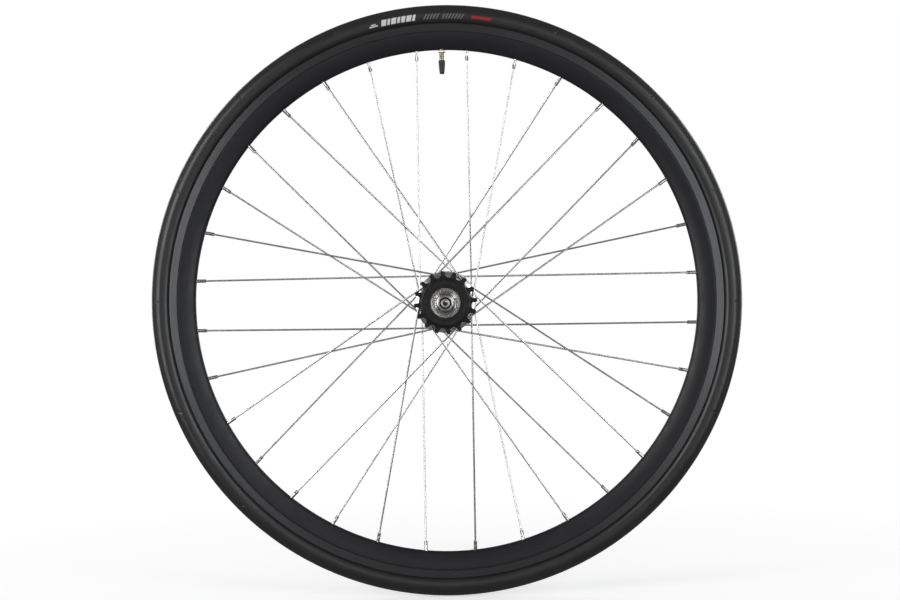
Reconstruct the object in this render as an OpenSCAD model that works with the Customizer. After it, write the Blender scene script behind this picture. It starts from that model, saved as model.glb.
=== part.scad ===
// Bicycle rear wheel with a single-speed freewheel, as separate pieces.
// The axle lies along Y with the wheel's mid-plane at Y = 0, the drive side faces -Y,
// and the valve stands at the top, +Z. Millimetres throughout.
//
// Most pieces are drawn in the axle frame and turned into place by on_axle(): there
// x is to the right, y is up and z grows towards the drive side, as the wheel is seen
// from its drive side. Angles of nipples and teeth are measured clockwise from the top.

/* [Tyre] */
// Outer radius of the mounted tyre
tyre_r = 336; // [334:0.5:338]
// Width of the tyre
tyre_w = 25; // [24.6:0.1:25.4]
// Thickness of the tread at the crown
tread_t = 3.5; // [3:0.1:4]
// Radius of the inner tube's section
tube_r = 9.2; // [8:0.1:9.2]
// Wall of the inner tube
tube_wall = 0.9; // [0.6:0.1:1.5]

/* [Rim] */
// Radius of the bead seat, half of the 622 mm standard
seat_r = 311; // [311]
// Radius of the rim's inner nose
nose_r = 285; // [284:0.5:288]
// Outer width across the brake tracks
rim_w = 21; // [20.6:0.1:21.4]
// Width between the bead walls
rim_inner_w = 17; // [16.8:0.1:17.2]
// Height of the bead wall above the seat
wall_h = 3.3; // [3:0.1:6]
// Height of each brake track
track_h = 8.5; // [8:0.1:10]

/* [Spokes] */
// Number of spokes
spoke_count = 32; // [32]
// Diameter of a spoke
spoke_d = 2; // [1.8:0.1:2]
// Times that a spoke crosses others of its own flange
crosses = 3; // [3]
// Length of a nipple below the rim's nose
nipple_out = 10.5; // [8:0.5:12]
// Diameter of a nipple's shank
nipple_d = 3.9; // [3.6:0.1:4]

/* [Hub] */
// Distance between the middles of the two flanges
flange_gap = 68; // [66:0.5:68]
// Outer diameter of a flange
flange_d = 68; // [67:0.5:70]
// Thickness of a flange at its holes
flange_t = 3.2; // [3:0.1:3.4]
// Diameter of the spoke hole circle
hole_circle_d = 60; // [59:0.5:60]
// Width over the locknuts
over_locknuts = 120; // [120]
// Length of the axle
axle_l = 131; // [130:0.5:134]
// Diameter of the axle
axle_d = 10; // [10]
// Diameter of the hole through the axle
axle_bore_d = 5.2; // [5.1:0.1:5.4]
// Diameter of a hub bearing ball
ball_d = 6.35; // [6.35]
// Balls in one hub bearing
ball_count = 9; // [8:1:9]
// Width across the flats of a locknut
locknut_af = 17; // [15:1:17]

/* [Freewheel] */
// Teeth of the sprocket
teeth = 16; // [16]
// Pitch of the chain
chain_pitch = 12.7; // [12.7]
// Diameter of a chain roller's seat
roller_d = 7.95; // [7.8:0.05:8.1]
// Thickness of the sprocket's teeth
tooth_t = 2.9; // [2.1:0.1:2.9]
// Distance from the wheel's mid-plane to the middle of the teeth
chain_line = 43.5; // [43:0.1:44]
// Teeth of the ratchet
ratchet_teeth = 24; // [24]
// Diameter of a freewheel ball
small_ball_d = 3.175; // [3.175]
// Balls in one freewheel row
small_ball_count = 42; // [36:1:44]

/* [Valve] */
// Diameter of the valve stem
stem_d = 6; // [5.8:0.1:6]
// Reach of the valve and its cap below the rim's nose
valve_reach = 27; // [26:0.5:30]
// Length of the valve cap
cap_l = 15.6; // [15:0.1:16]

/* [Hidden] */
$fn = 72;

// Gap left between parts that turn on each other, and between threaded or pressed parts
run_gap = 0.06;
seat_gap = 0.03;
// Facets of the large rings and of the spokes
ring_fn = 180;
wire_fn = 48;
// A little more than a cut needs, so that it breaks the surface
over = 0.5;

// Tyre section, in radius and distance from the mid-plane
section_r = tyre_w / 2;
section_c = tyre_r - section_r;
casing_r = section_r - 2.2;
casing_c = tyre_r - tread_t - casing_r;
bead_r = 1.4;
wall_x = rim_inner_w / 2;
bead_x = wall_x - 0.1;
casing_t = 1.5;
rim_r = seat_r + wall_h;
sidewall_from = rim_r + 1.9;
// Half the width of the outside of the tyre where its sidewall starts, less an overlap
sidewall_x = sqrt(section_r * section_r - pow(section_c - sidewall_from, 2)) - 0.05;
tube_c = tyre_r - tread_t - tube_r - 0.3;

// Rim section
half_w = rim_w / 2;
track_from = rim_r - track_h;
groove_w = 1.3;
groove_depth = 0.6;
well_r = seat_r - 2.7;
well_x = 5.4;
bed_t = 1.8;
nose_round = 5;
nose_wall = 3.0;
side_wall = 1.7;
access_r = 4;
stem_hole_r = stem_d / 2 + 0.25;
tape_t = 0.6;

// Lacing: the nipples lie evenly round the rim, half a step from the valve
nipple_step = 360 / spoke_count;
flange_step = 2 * nipple_step;
lace_turn = crosses * flange_step;
nipple_seat_r = nose_r + nose_wall;
hole_r = hole_circle_d / 2;
flange_mid = flange_gap / 2;
flange_out = flange_mid + flange_t / 2;
flange_in = flange_mid - flange_t / 2;
spoke_r = spoke_d / 2;
spoke_hole_r = spoke_r + 0.25;
// In the wheel's plane: straight run from hub hole to nipple seat, and its distance
// from the axle
run = sqrt(hole_r ^ 2 + nipple_seat_r ^ 2 - 2 * hole_r * nipple_seat_r * cos(lace_turn));
offset_d = hole_r * nipple_seat_r * sin(lace_turn) / run;
foot_turn = acos(offset_d / hole_r);
// The last crossing lies this far along the run, where the two spokes touch
cross_turn = foot_turn + (2 * crosses - 1) * flange_step / 2;
cross_at = offset_d * (tan(cross_turn) - tan(foot_turn));
cross_mid = flange_mid * (1 - cross_at / run);
cross_shift = spoke_r + 0.1;
// The bent end of a spoke
elbow_r = 1.6;
elbow_rise = 1.35;
head_r = 2.2;
head_t = 1.0;
nipple_r = nipple_d / 2;
nipple_head_r = 3;
nipple_head_t = 1.6;
nipple_flats = 3.3;
spoke_end = 1.0;

// Hub bearing, in radius and distance from the mid-plane
axle_r = axle_d / 2;
axle_bore_r = axle_bore_d / 2;
ball_r = ball_d / 2;
ball_plane = 42;
ball_circle = 9.9;
race_r = ball_r + run_gap;
cup_r = 15;
cup_bore_r = ball_circle - 2.5;
cup_in = 37.6;
cup_out = 45.6;
boss_end = 47.5;
boss_r = 17.4;
dust_bore_r = 10.7;
shoulder_r = 19;
shoulder_w = 1.4;
body_r = 12.5;
bore_r = 9.5;
flare_r = 16;
// Where the flange ends start
flare_from = 24;
// Cone: its nose inside the balls, the shield that closes the dust cap, and its neck
cone_flats = 15;
cone_nose = ball_plane - 2.8;
cone_nose_r = 6.9;
shield_from = ball_plane + 3.4;
shield_root_r = 9.2;
shield_r = 10.3;
cone_neck = boss_end + 0.5;
cone_neck_r = 8.6;
cone_end = 51.5;
washer_t = 1.4;
washer_r = 8.8;
spacer_t = 1.6;
spacer_r = 8;
recess_t = 0.9;
recess_r = 6.5;
locknut_face = over_locknuts / 2;
// The ends that sit in the frame start just outside the locknuts; between them the thread is
// drawn as a plain, slightly thinner stretch
axle_end_from = locknut_face + 0.2;
thread_r = axle_r - 0.2;
locknut_from = cone_end + washer_t + spacer_t;

// Freewheel, in radius and distance from the mid-plane
fw_back = flange_out + shoulder_w;
fw_front = 52.3;
fw_bore_front = 16.8;
small_ball_r = small_ball_d / 2;
small_circle = 23.6;
small_race_r = small_ball_r + run_gap;
rear_row = 40.3;
front_row = 48.9;
land_in = 22.9;
land_out = 24.3;
pawl_from = 42.2;
pawl_to = 46.8;
pawl_land_r = 21.2;
lockring_bore = 19.5;
lockring_r = 25.6;
lockring_plate = 50.8;
pin_hole_at = 22.4;
pin_hole_r = 1.1;
ring_r = 28.2;
ring_back = 38.1;
ring_front = 52;
ring_lip = 25.8;
ratchet_tip = 21.8;
ratchet_root = 23.4;
ratchet_step = 360 / ratchet_teeth;
ratchet_phase = 3.6;
pitch_r = chain_pitch / 2 / sin(180 / teeth);
tip_r = pitch_r + 2.9;
tooth_phase = -4.5;

// Pawl: it turns about its round heel, and its tip stands in the ratchet
pawl_turn = 24;
pawl_pivot_r = 19.75;
heel_r = 1.45;
pawl_gap = 0.75;
pawl_fold = 9;
pawl_tip_r = 22.05;
pawl_out = 0.7;
pawl_in = 0.85;
floor_from = [2, 1.9];
floor_tilt = 11;
spring_t = 0.3;
spring_l = 4;

// Valve, as radii of the wheel: the cap's open end, the stem's end and the pin's tip
lock_ring_h = 3;
lock_ring_t = 1.3;
cap_grip_r = 3.8;
cap_end_r = 2.7;
cap_inner_r = 2.1;
cap_floor = 1.6;
cap_top = nose_r - valve_reach + cap_l;
stem_end = cap_top - 5.6;
stem_top = tyre_r - tread_t - 2 * tube_r + 0.3;
pin_tip = stem_end - 5.2;
pin_r = 0.9;
pin_l = 14;
air_r = 1.3;
nut_r = 1.9;
nut_h = 2.6;
tip_stem_r = 2.6;

// ---------------------------------------------------------------- placing

// Turns the axle frame into the wheel's frame
module on_axle() {
    rotate([90, 0, 0]) children();
}

// The non-drive side is the drive side seen in a mirror
module side_of(side) {
    if (side > 0) children();
    else mirror([0, 0, 1]) children();
}

// A ring turned from its section: x is the radius, y the place along the axle
module ring(facets = $fn) {
    rotate_extrude($fn = facets) children();
}

// Outlines of sections always run the same way round, whichever order they are listed in
function turned_area(p) =
    [for (i = [0 : len(p) - 1]) cross(p[i], p[(i + 1) % len(p)])] * [for (q = p) 1];
function same_way(p) = turned_area(p) < 0 ? [for (i = [len(p) - 1 : -1 : 0]) p[i]] : p;

module outline(points) {
    polygon(same_way(points));
}

// The same outline on both sides of the mid-plane
module twin_outline(points) {
    for (side = [1, -1]) outline([for (p = points) [p[0], side * p[1]]]);
}

module twin_circle(x, y, r) {
    for (side = [1, -1]) translate([x, side * y]) circle(r);
}

function clockwise(r, turn) = [r * sin(turn), r * cos(turn)];
function toward(p, q) = atan2(q[1] - p[1], q[0] - p[0]);

// ---------------------------------------------------------------- tyre and tube

module tyre_section() {
    intersection() {
        difference() {
            translate([section_c, 0]) circle(section_r);
            translate([casing_c, 0]) circle(casing_r);
        }
        translate([sidewall_from, -tyre_w]) square([tyre_r, 2 * tyre_w]);
    }
    twin_outline([
        [seat_r + 2.2, bead_x],
        [rim_r - 0.1, bead_x],
        [sidewall_from, sidewall_x],
        [sidewall_from + 0.6, sidewall_x],
        [sidewall_from + 0.6, sidewall_x - 1.2],
        [rim_r + 0.3, bead_x - casing_t],
        [seat_r + 2.2, bead_x - casing_t]
    ]);
    twin_circle(seat_r + bead_r + 0.2, bead_x - bead_r, bead_r);
}

module tyre() {
    color("#1c1c1e") on_axle() ring(ring_fn) tyre_section();
}

module inner_tube() {
    color("#2b2b2b") on_axle() difference() {
        ring(ring_fn) translate([tube_c, 0]) circle(tube_r);
        ring(ring_fn) translate([tube_c, 0]) circle(tube_r - tube_wall);
        valve_bore(stem_d / 2 + seat_gap, tube_c - tube_r - over, tube_c);
    }
}

// ---------------------------------------------------------------- rim

module rim_outline() {
    translate([nose_r + nose_round, 0]) circle(nose_round);
    twin_outline([
        [nose_r + nose_round, 0],
        [nose_r + nose_round - 1.3, nose_round - 0.19],
        [nose_r + 10, half_w - 2.6],
        [track_from - groove_w - 2, half_w - 0.7],
        [track_from - groove_w, half_w - 0.3],
        [track_from - groove_w, half_w - groove_depth],
        [track_from, half_w - groove_depth],
        [track_from, half_w],
        [rim_r - 0.5, half_w],
        [rim_r, half_w - 0.5],
        [rim_r, wall_x + 0.3],
        [rim_r - 0.6, wall_x],
        [seat_r, wall_x],
        [seat_r, well_x + 0.8],
        [well_r, well_x],
        [well_r, 0]
    ]);
}

module rim_cavity() {
    twin_outline([
        [nipple_seat_r + 0.6, 0],
        [nipple_seat_r + 0.6, nose_round - side_wall],
        [track_from - groove_w - 2, half_w - 0.7 - side_wall],
        [well_r - bed_t, half_w - 0.7 - side_wall],
        [well_r - bed_t, 0]
    ]);
}

module rim() {
    color("#202024") on_axle() difference() {
        ring(ring_fn) difference() {
            rim_outline();
            rim_cavity();
        }
        for (k = [0 : spoke_count - 1]) spoke_frame(k) nipple_hole(runs_outside(k));
        for (k = [0 : spoke_count - 1]) access_hole(nipple_turn(k), access_r);
        access_hole(0, access_r);
        valve_bore(stem_hole_r, nose_r - over, well_r + over);
    }
}

module access_hole(turn, radius) {
    rotate([0, 0, -turn]) valve_bore(radius, well_r - bed_t - over, seat_r + over);
}

// A round hole along the valve's line, from one radius of the wheel to another
module valve_bore(radius, from, to) {
    translate([0, from, 0]) rotate([-90, 0, 0]) cylinder(h = to - from, r = radius, $fn = wire_fn);
}

module rim_tape() {
    color("#d8d8d2") on_axle() difference() {
        ring(ring_fn) translate([well_r + seat_gap, -well_x + 0.2]) square([tape_t, 2 * well_x - 0.4]);
        valve_bore(stem_hole_r, well_r - over, well_r + tape_t + over);
    }
}

// ---------------------------------------------------------------- spokes

// Nipples are numbered clockwise from the valve. Even ones belong to the non-drive
// flange and odd ones to the drive flange, and the lean changes after every two.
function nipple_turn(k) = (k + 0.5) * nipple_step;
function flange_side(k) = k % 2 == 1 ? 1 : -1;
function runs_outside(k) = k % 4 < 2;
function hole_turn(k) = nipple_turn(k) + (runs_outside(k) ? lace_turn : -lace_turn);

// Puts a spoke's own plane in place: x runs from its hub hole to its nipple and y
// runs along the axle, away from the wheel's middle
module spoke_frame(k) {
    hole = clockwise(hole_r, hole_turn(k));
    seat = clockwise(nipple_seat_r, nipple_turn(k));
    side_of(flange_side(k)) translate([hole[0], hole[1], 0])
        rotate([0, 0, toward(hole, seat)]) rotate([90, 0, 0]) children();
}

// Where the two kinds of spoke stand at their last crossing, and how they go on
function crossing(outside) = [cross_at, cross_mid + (outside ? -cross_shift : cross_shift)];
function last_heading(outside) = toward(crossing(outside), [run, 0]);
// The elbow's centre, and the heading of the tangent from it to the crossing
function elbow_centre(outside) =
    [elbow_r, outside ? flange_out + elbow_rise - elbow_r : flange_in - elbow_rise + elbow_r];
function elbow_swing(outside) =
    asin(elbow_r / norm(crossing(outside) - elbow_centre(outside)));
function first_heading(outside) =
    toward(elbow_centre(outside), crossing(outside)) + (outside ? -1 : 1) * elbow_swing(outside);

module strand(from, heading, length) {
    translate([from[0], from[1], 0]) rotate([0, 0, heading]) rotate([0, 90, 0])
        cylinder(h = length, r = spoke_r, $fn = wire_fn);
}

module elbow(centre, start, sweep) {
    translate([centre[0], centre[1], 0]) rotate([0, 0, start])
        rotate_extrude(angle = sweep, $fn = wire_fn) translate([elbow_r, 0]) circle(spoke_r);
}

module spoke_head(at, outward) {
    translate([0, at, 0]) rotate([-90 * outward, 0, 0]) union() {
        cylinder(h = head_t * 0.45, r = head_r, $fn = wire_fn);
        translate([0, 0, head_t * 0.45])
            cylinder(h = head_t * 0.55, r1 = head_r, r2 = head_r * 0.62, $fn = wire_fn);
    }
}

// A ball over the joint of two strands, with its poles along them
module joint_ball(at, heading) {
    translate([at[0], at[1], 0]) rotate([0, 0, heading]) rotate([0, 90, 0])
        sphere(spoke_r + 0.01, $fn = wire_fn);
}

module spoke(outside) {
    centre = elbow_centre(outside);
    first = first_heading(outside);
    last = last_heading(outside);
    over_top = outside ? 1 : -1;
    leave = centre + over_top * elbow_r * [-sin(first), cos(first)];
    bow = crossing(outside);
    in_head = head_t * 0.4;
    spoke_head(outside ? flange_in : flange_out, -over_top);
    strand([0, outside ? flange_in - in_head : centre[1]], 90,
        (outside ? centre[1] - flange_in : flange_out - centre[1]) + in_head);
    elbow(centre, outside ? 90 + first : 180, 90 - over_top * first);
    joint_ball(leave, first);
    strand(leave, first, norm(bow - leave));
    joint_ball(bow, (first + last) / 2);
    strand(bow, last, norm([run, 0] - bow) + spoke_end);
}

module spokes(side, outside) {
    color("#c9cacc") on_axle()
        for (k = [0 : spoke_count - 1])
            if (flange_side(k) == side && runs_outside(k) == outside)
                spoke_frame(k) spoke(outside);
}

module drive_outer_spokes() { spokes(1, true); }
module drive_inner_spokes() { spokes(1, false); }
module non_drive_outer_spokes() { spokes(-1, true); }
module non_drive_inner_spokes() { spokes(-1, false); }

// Along the last stretch of a spoke, with z pointing out of the wheel and zero at the
// nipple's seat in the rim
module nipple_axis(outside) {
    translate([run, 0, 0]) rotate([0, 0, last_heading(outside)]) rotate([0, 90, 0]) children();
}

module nipple_hole(outside) {
    nipple_axis(outside) {
        translate([0, 0, -nose_wall - 4]) cylinder(h = nose_wall + 5, r = nipple_r + 0.15);
        cylinder(h = 6, r = nipple_head_r + 0.15);
    }
}

module nipple(outside) {
    length = nose_wall + nipple_out;
    nipple_axis(outside) difference() {
        union() {
            translate([0, 0, -length]) cylinder(h = length + over, r = nipple_r, $fn = wire_fn);
            cylinder(h = nipple_head_t * 0.6, r = nipple_head_r, $fn = wire_fn);
            translate([0, 0, nipple_head_t * 0.6])
                cylinder(h = nipple_head_t * 0.4, r1 = nipple_head_r, r2 = nipple_head_r - 0.8, $fn = wire_fn);
        }
        translate([0, 0, -length - over])
            cylinder(h = length + nipple_head_t + 2 * over, r = spoke_r + seat_gap, $fn = wire_fn);
        for (quarter = [0 : 90 : 270]) rotate([0, 0, quarter])
            translate([nipple_flats / 2, -nipple_d, -length - over])
                cube([nipple_d, 2 * nipple_d, 5 + over]);
    }
}

module nipples(side) {
    color("#d6d6d4") on_axle()
        for (k = [0 : spoke_count - 1])
            if (flange_side(k) == side) spoke_frame(k) nipple(runs_outside(k));
}

module drive_nipples() { nipples(1); }
module non_drive_nipples() { nipples(-1); }

// ---------------------------------------------------------------- hub

module hub_outline() {
    // middle tube, flaring to both flanges
    difference() {
        translate([0, -flange_mid]) square([body_r + flare_r, flange_gap]);
        twin_circle(body_r + flare_r, flange_in - flare_r, flare_r);
        translate([body_r, -(flange_in - flare_r)]) square([flare_r + over, 2 * (flange_in - flare_r)]);
    }
    // flanges, bevelled outside where the spokes leave them
    twin_outline([
        [0, flange_in],
        [flange_d / 2, flange_in],
        [flange_d / 2, flange_out - 1.7],
        [hole_r + 0.3, flange_out],
        [0, flange_out]
    ]);
    // shoulder and thread for the freewheel, and the plain boss opposite
    translate([0, flange_mid]) square([shoulder_r, fw_back - flange_mid]);
    translate([0, flange_mid]) square([boss_r, boss_end - flange_mid]);
    translate([0, -boss_end]) square([boss_r, boss_end - flange_mid]);
}

// The shell from one distance off the mid-plane to another. Its three parts meet in a plane on
// either side of the middle, so that the space between the flanges stays open for collision
module hub_between(from, to, side = 0) {
    color("#d0d1d3") on_axle() difference() {
        ring() difference() {
            intersection() {
                hub_outline();
                translate([0, from]) square([flange_d, to - from]);
            }
            translate([-1, -boss_end - 1]) square([bore_r + 1, 2 * boss_end + 2]);
            for (seat = [cup_in, -cup_in - boss_end])
                translate([-1, seat]) square([cup_r + 1, boss_end]);
        }
        for (k = [0 : spoke_count - 1]) if (flange_side(k) == side) spoke_hole(k);
    }
}

module hub_barrel() hub_between(-flare_from, flare_from);
module drive_hub_flange() hub_between(flare_from, boss_end, 1);
module non_drive_hub_flange() hub_between(-boss_end, -flare_from, -1);

module spoke_hole(k) {
    hole = clockwise(hole_r, hole_turn(k));
    side_of(flange_side(k)) translate([hole[0], hole[1], flange_in - 1])
        cylinder(h = flange_t + 2, r = spoke_hole_r, $fn = wire_fn);
}

module cup(side) {
    color("#a9abad") on_axle() side_of(side) ring() difference() {
        outline([
            [cup_bore_r, cup_in + seat_gap],
            [cup_r - seat_gap, cup_in + seat_gap],
            [cup_r - seat_gap, cup_out],
            [ball_circle + race_r - 0.2, cup_out],
            [ball_circle + race_r - 0.2, ball_plane],
            [cup_bore_r, ball_plane]
        ]);
        translate([ball_circle, ball_plane]) circle(race_r);
    }
}

module drive_cup() { cup(1); }
module non_drive_cup() { cup(-1); }

module balls(side) {
    color("#dfe0e2") on_axle() side_of(side)
        for (i = [0 : ball_count - 1]) rotate([0, 0, i * 360 / ball_count])
            translate([0, ball_circle, ball_plane]) sphere(ball_r);
}

module drive_balls() { balls(1); }
module non_drive_balls() { balls(-1); }

// A pressed cap with a shiny sloping face round the cone
module dust_cap(side) {
    color("#e2e2e4") on_axle() side_of(side) ring() outline([
        [cup_r - seat_gap, cup_out + seat_gap],
        [cup_r - seat_gap, boss_end],
        [cup_r - 1.2, boss_end + 0.3],
        [dust_bore_r, boss_end - 0.9],
        [dust_bore_r, boss_end - 1.7],
        [cup_r - 1.4, boss_end - 0.6],
        [cup_r - 1.1, cup_out + seat_gap]
    ]);
}

module drive_dust_cap() { dust_cap(1); }
module non_drive_dust_cap() { dust_cap(-1); }

module cone(side) {
    color("#9c9da0") on_axle() side_of(side) difference() {
        ring() difference() {
            outline([
                [thread_r + seat_gap, cone_nose],
                [cone_nose_r, cone_nose],
                [shield_root_r, shield_from],
                [shield_r, shield_from],
                [shield_r, boss_end - 0.3],
                [cone_neck_r, cone_neck],
                [cone_neck_r, cone_end],
                [thread_r + seat_gap, cone_end]
            ]);
            translate([ball_circle, ball_plane]) circle(race_r);
        }
        for (turn = [0, 180]) rotate([0, 0, turn])
            translate([cone_flats / 2, -cone_flats / 2, cone_neck]) cube([cone_flats, cone_flats, cone_end]);
    }
}

module drive_cone() { cone(1); }
module non_drive_cone() { cone(-1); }

module lock_washer(side) {
    color("#b5b6b8") on_axle() side_of(side) difference() {
        translate([0, 0, cone_end]) cylinder(h = washer_t, r = washer_r);
        translate([0, 0, cone_end - over]) cylinder(h = washer_t + 2 * over, r = thread_r + seat_gap);
    }
}

module drive_lock_washer() { lock_washer(1); }
module non_drive_lock_washer() { lock_washer(-1); }

module spacer(side) {
    color("#8d8e91") on_axle() side_of(side) difference() {
        translate([0, 0, cone_end + washer_t]) cylinder(h = spacer_t, r = spacer_r);
        translate([0, 0, cone_end]) cylinder(h = washer_t + spacer_t + over, r = thread_r + seat_gap);
    }
}

module drive_spacer() { spacer(1); }
module non_drive_spacer() { spacer(-1); }

// Hexagon nut with its corners turned off, and a recess round the axle
module locknut(side) {
    corner_r = locknut_af / 2 / cos(30);
    height = locknut_face - locknut_from;
    color("#cfcfcf") on_axle() side_of(side) translate([0, 0, locknut_from]) difference() {
        intersection() {
            rotate([0, 0, 30]) cylinder(h = height, r = corner_r, $fn = 6);
            ring() outline([
                [0, 0],
                [corner_r + 0.1, 0],
                [corner_r + 0.1, height - 1.1],
                [locknut_af / 2 - 0.2, height],
                [0, height]
            ]);
        }
        translate([0, 0, -over]) cylinder(h = height + 2 * over, r = thread_r + seat_gap);
        translate([0, 0, height - recess_t]) cylinder(h = recess_t + over, r = recess_r);
    }
}

module drive_locknut() { locknut(1); }
module non_drive_locknut() { locknut(-1); }

module axle() {
    end = axle_l / 2;
    color("#bdbdbf") on_axle() difference() {
        ring() outline([
            [0, -end],
            [axle_r - 0.6, -end],
            [axle_r, -end + 0.6],
            [axle_r, -axle_end_from],
            [thread_r, -axle_end_from],
            [thread_r, axle_end_from],
            [axle_r, axle_end_from],
            [axle_r, end - 0.6],
            [axle_r - 0.6, end],
            [0, end]
        ]);
        translate([0, 0, -end - over]) cylinder(h = axle_l + 2 * over, r = axle_bore_r);
    }
}

// ---------------------------------------------------------------- freewheel

module freewheel_inner_body() {
    color("#2a2b2e") on_axle() difference() {
        ring() difference() {
            outline([
                [boss_r + seat_gap, fw_back],
                [land_out - 0.3, fw_back],
                [land_out - 0.3, ring_back + 0.5],
                [land_in, ring_back + 0.5],
                [land_in, pawl_from - 0.2],
                [pawl_land_r, pawl_from - 0.2],
                [pawl_land_r, pawl_to],
                [lockring_bore - seat_gap, pawl_to],
                [lockring_bore - seat_gap, fw_front],
                [fw_bore_front + 0.5, fw_front],
                [fw_bore_front, fw_front - 0.5],
                [fw_bore_front, boss_end + 0.6],
                [boss_r + seat_gap, boss_end + 0.6]
            ]);
            translate([small_circle, rear_row]) circle(small_race_r);
        }
        for (turn = [0, 180]) rotate([0, 0, turn]) pawl_pocket();
        for (i = [0 : 11]) rotate([0, 0, i * 30])
            translate([-0.9, 0, boss_end + 1.4]) cube([1.8, fw_bore_front + 0.6, 10]);
    }
}

module freewheel_lockring() {
    color("#242528") on_axle() difference() {
        ring() difference() {
            outline([
                [lockring_bore, pawl_to + 0.6],
                [land_in, pawl_to + 0.6],
                [land_in, lockring_plate],
                [lockring_r, lockring_plate],
                [lockring_r, fw_front - 0.5],
                [lockring_r - 0.5, fw_front],
                [lockring_bore, fw_front]
            ]);
            translate([small_circle, front_row]) circle(small_race_r);
        }
        for (turn = [45, 225]) rotate([0, 0, turn])
            translate([pin_hole_at, 0, fw_front - 1]) cylinder(h = 2, r = pin_hole_r, $fn = wire_fn);
    }
}

module freewheel_shim() {
    color("#b08d57") on_axle() difference() {
        translate([0, 0, pawl_to + 0.1]) cylinder(h = 0.4, r = pawl_land_r);
        translate([0, 0, pawl_to - over]) cylinder(h = 2, r = lockring_bore);
    }
}

module small_balls(plane) {
    color("#dfe0e2") on_axle()
        for (i = [0 : small_ball_count - 1]) rotate([0, 0, i * 360 / small_ball_count])
            translate([0, small_circle, plane]) sphere(small_ball_r, $fn = wire_fn);
}

module freewheel_front_balls() { small_balls(front_row); }
module freewheel_rear_balls() { small_balls(rear_row); }

// The gap that a chain roller needs, opening outwards between two teeth
module roller_gap() {
    seat = roller_d / 2;
    translate([pitch_r, 0]) circle(seat);
    outline([
        [pitch_r, -seat + 0.03],
        [pitch_r + 1.7, -seat - 0.7],
        [tip_r + 0.3, -seat - 2.3],
        [tip_r + 0.3, seat + 2.3],
        [pitch_r + 1.7, seat + 0.7],
        [pitch_r, seat - 0.03]
    ]);
}

module sprocket_teeth() {
    intersection() {
        translate([0, 0, chain_line - tooth_t / 2]) linear_extrude(tooth_t) difference() {
            circle(tip_r, $fn = ring_fn);
            circle(ring_r - 1, $fn = ring_fn);
            for (i = [0 : teeth - 1]) rotate(90 - tooth_phase + (i + 0.5) * 360 / teeth) roller_gap();
        }
        translate([0, 0, chain_line]) ring(ring_fn) twin_outline([
            [0, 0],
            [tip_r + 1, 0],
            [tip_r + 1, 0.35],
            [pitch_r + 0.6, tooth_t / 2],
            [0, tooth_t / 2]
        ]);
    }
}

// Saw teeth on the inside of the ring: each has one steep face, which pushes a pawl
module ratchet_outline() {
    outline([
        for (i = [0 : ratchet_teeth - 1])
            for (corner = [[ratchet_tip, 0], [ratchet_tip, 1], [ratchet_root, ratchet_step - 0.4]])
                [corner[0] * cos(i * ratchet_step + corner[1]), corner[0] * sin(i * ratchet_step + corner[1])]
    ]);
}

module freewheel_sprocket() {
    color("#26272a") on_axle() difference() {
        union() {
            ring(ring_fn) outline([
                [ratchet_tip - 1, pawl_from],
                [land_out, pawl_from],
                [land_out, ring_back],
                [ring_r - 1, ring_back],
                [ring_r, ring_back + 1],
                [ring_r, ring_front - 1.7],
                [ring_r - 1.7, ring_front],
                [ring_lip, ring_front],
                [ring_lip, lockring_plate - 0.2],
                [land_out, lockring_plate - 0.2],
                [land_out, pawl_to + 0.2],
                [ratchet_tip - 1, pawl_to + 0.2]
            ]);
            sprocket_teeth();
        }
        for (row = [rear_row, front_row]) ring() translate([small_circle, row]) circle(small_race_r);
        translate([0, 0, ring_back - 1]) linear_extrude(ring_front)
            rotate(ratchet_phase) ratchet_outline();
    }
}

// The pawl is drawn with its pivot at the origin and its tip along x, then put where
// its end face lies along a radius, just short of the ratchet's steep face
pawl_pivot = pawl_pivot_r * [cos(pawl_turn), -sin(pawl_turn)];
pawl_tip = pawl_tip_r * [cos(pawl_gap), -sin(pawl_gap)];
pawl_heading = toward(pawl_pivot, pawl_tip);
pawl_l = norm(pawl_tip - pawl_pivot);
pawl_end = [cos(pawl_gap + pawl_heading), -sin(pawl_gap + pawl_heading)];

module pawl_place() {
    translate([pawl_pivot[0], pawl_pivot[1], 0]) rotate([0, 0, pawl_heading]) children();
}

module pawl_outline(grow) {
    circle(heel_r + grow);
    outline([
        [0, -1.15 - grow],
        [pawl_l, 0] + pawl_out * pawl_end + [grow, -grow],
        [pawl_l, 0] - pawl_in * pawl_end + [grow, grow],
        [pawl_l - 1.9, 0.95 + grow],
        [0, 1.2 + grow]
    ]);
}

module pawl(turn) {
    color("#8f9195") on_axle() rotate([0, 0, turn])
        translate([0, 0, pawl_from + 0.2]) linear_extrude(pawl_to - pawl_from - 0.5)
            pawl_place() pawl_outline(0);
}

module pawl_a() { pawl(0); }
module pawl_b() { pawl(180); }

// Room for the pawl from its raised place to its folded one, over the floor that its
// leaf spring lies on
module pawl_pocket() {
    floor_l = pawl_l - floor_from[0];
    floor_end = floor_from + floor_l * [cos(floor_tilt), sin(floor_tilt)];
    translate([0, 0, pawl_from]) linear_extrude(pawl_to - pawl_from) pawl_place() {
        circle(heel_r + run_gap);
        for (fold = [0, pawl_fold / 2, pawl_fold + 1]) rotate(fold) pawl_outline(run_gap);
        outline([
            [floor_from[0], -1.3],
            [pawl_l, -1.1],
            [pawl_l + 0.6, 0],
            floor_end,
            floor_from
        ]);
    }
}

module pawl_spring(turn) {
    color("#c8c8ca") on_axle() rotate([0, 0, turn])
        translate([0, 0, pawl_from + 1.2]) linear_extrude(2) pawl_place()
            translate(floor_from) rotate(floor_tilt)
                translate([2.2, -spring_t - seat_gap]) square([spring_l, spring_t]);
}

module pawl_spring_a() { pawl_spring(0); }
module pawl_spring_b() { pawl_spring(180); }

// ---------------------------------------------------------------- valve

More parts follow.
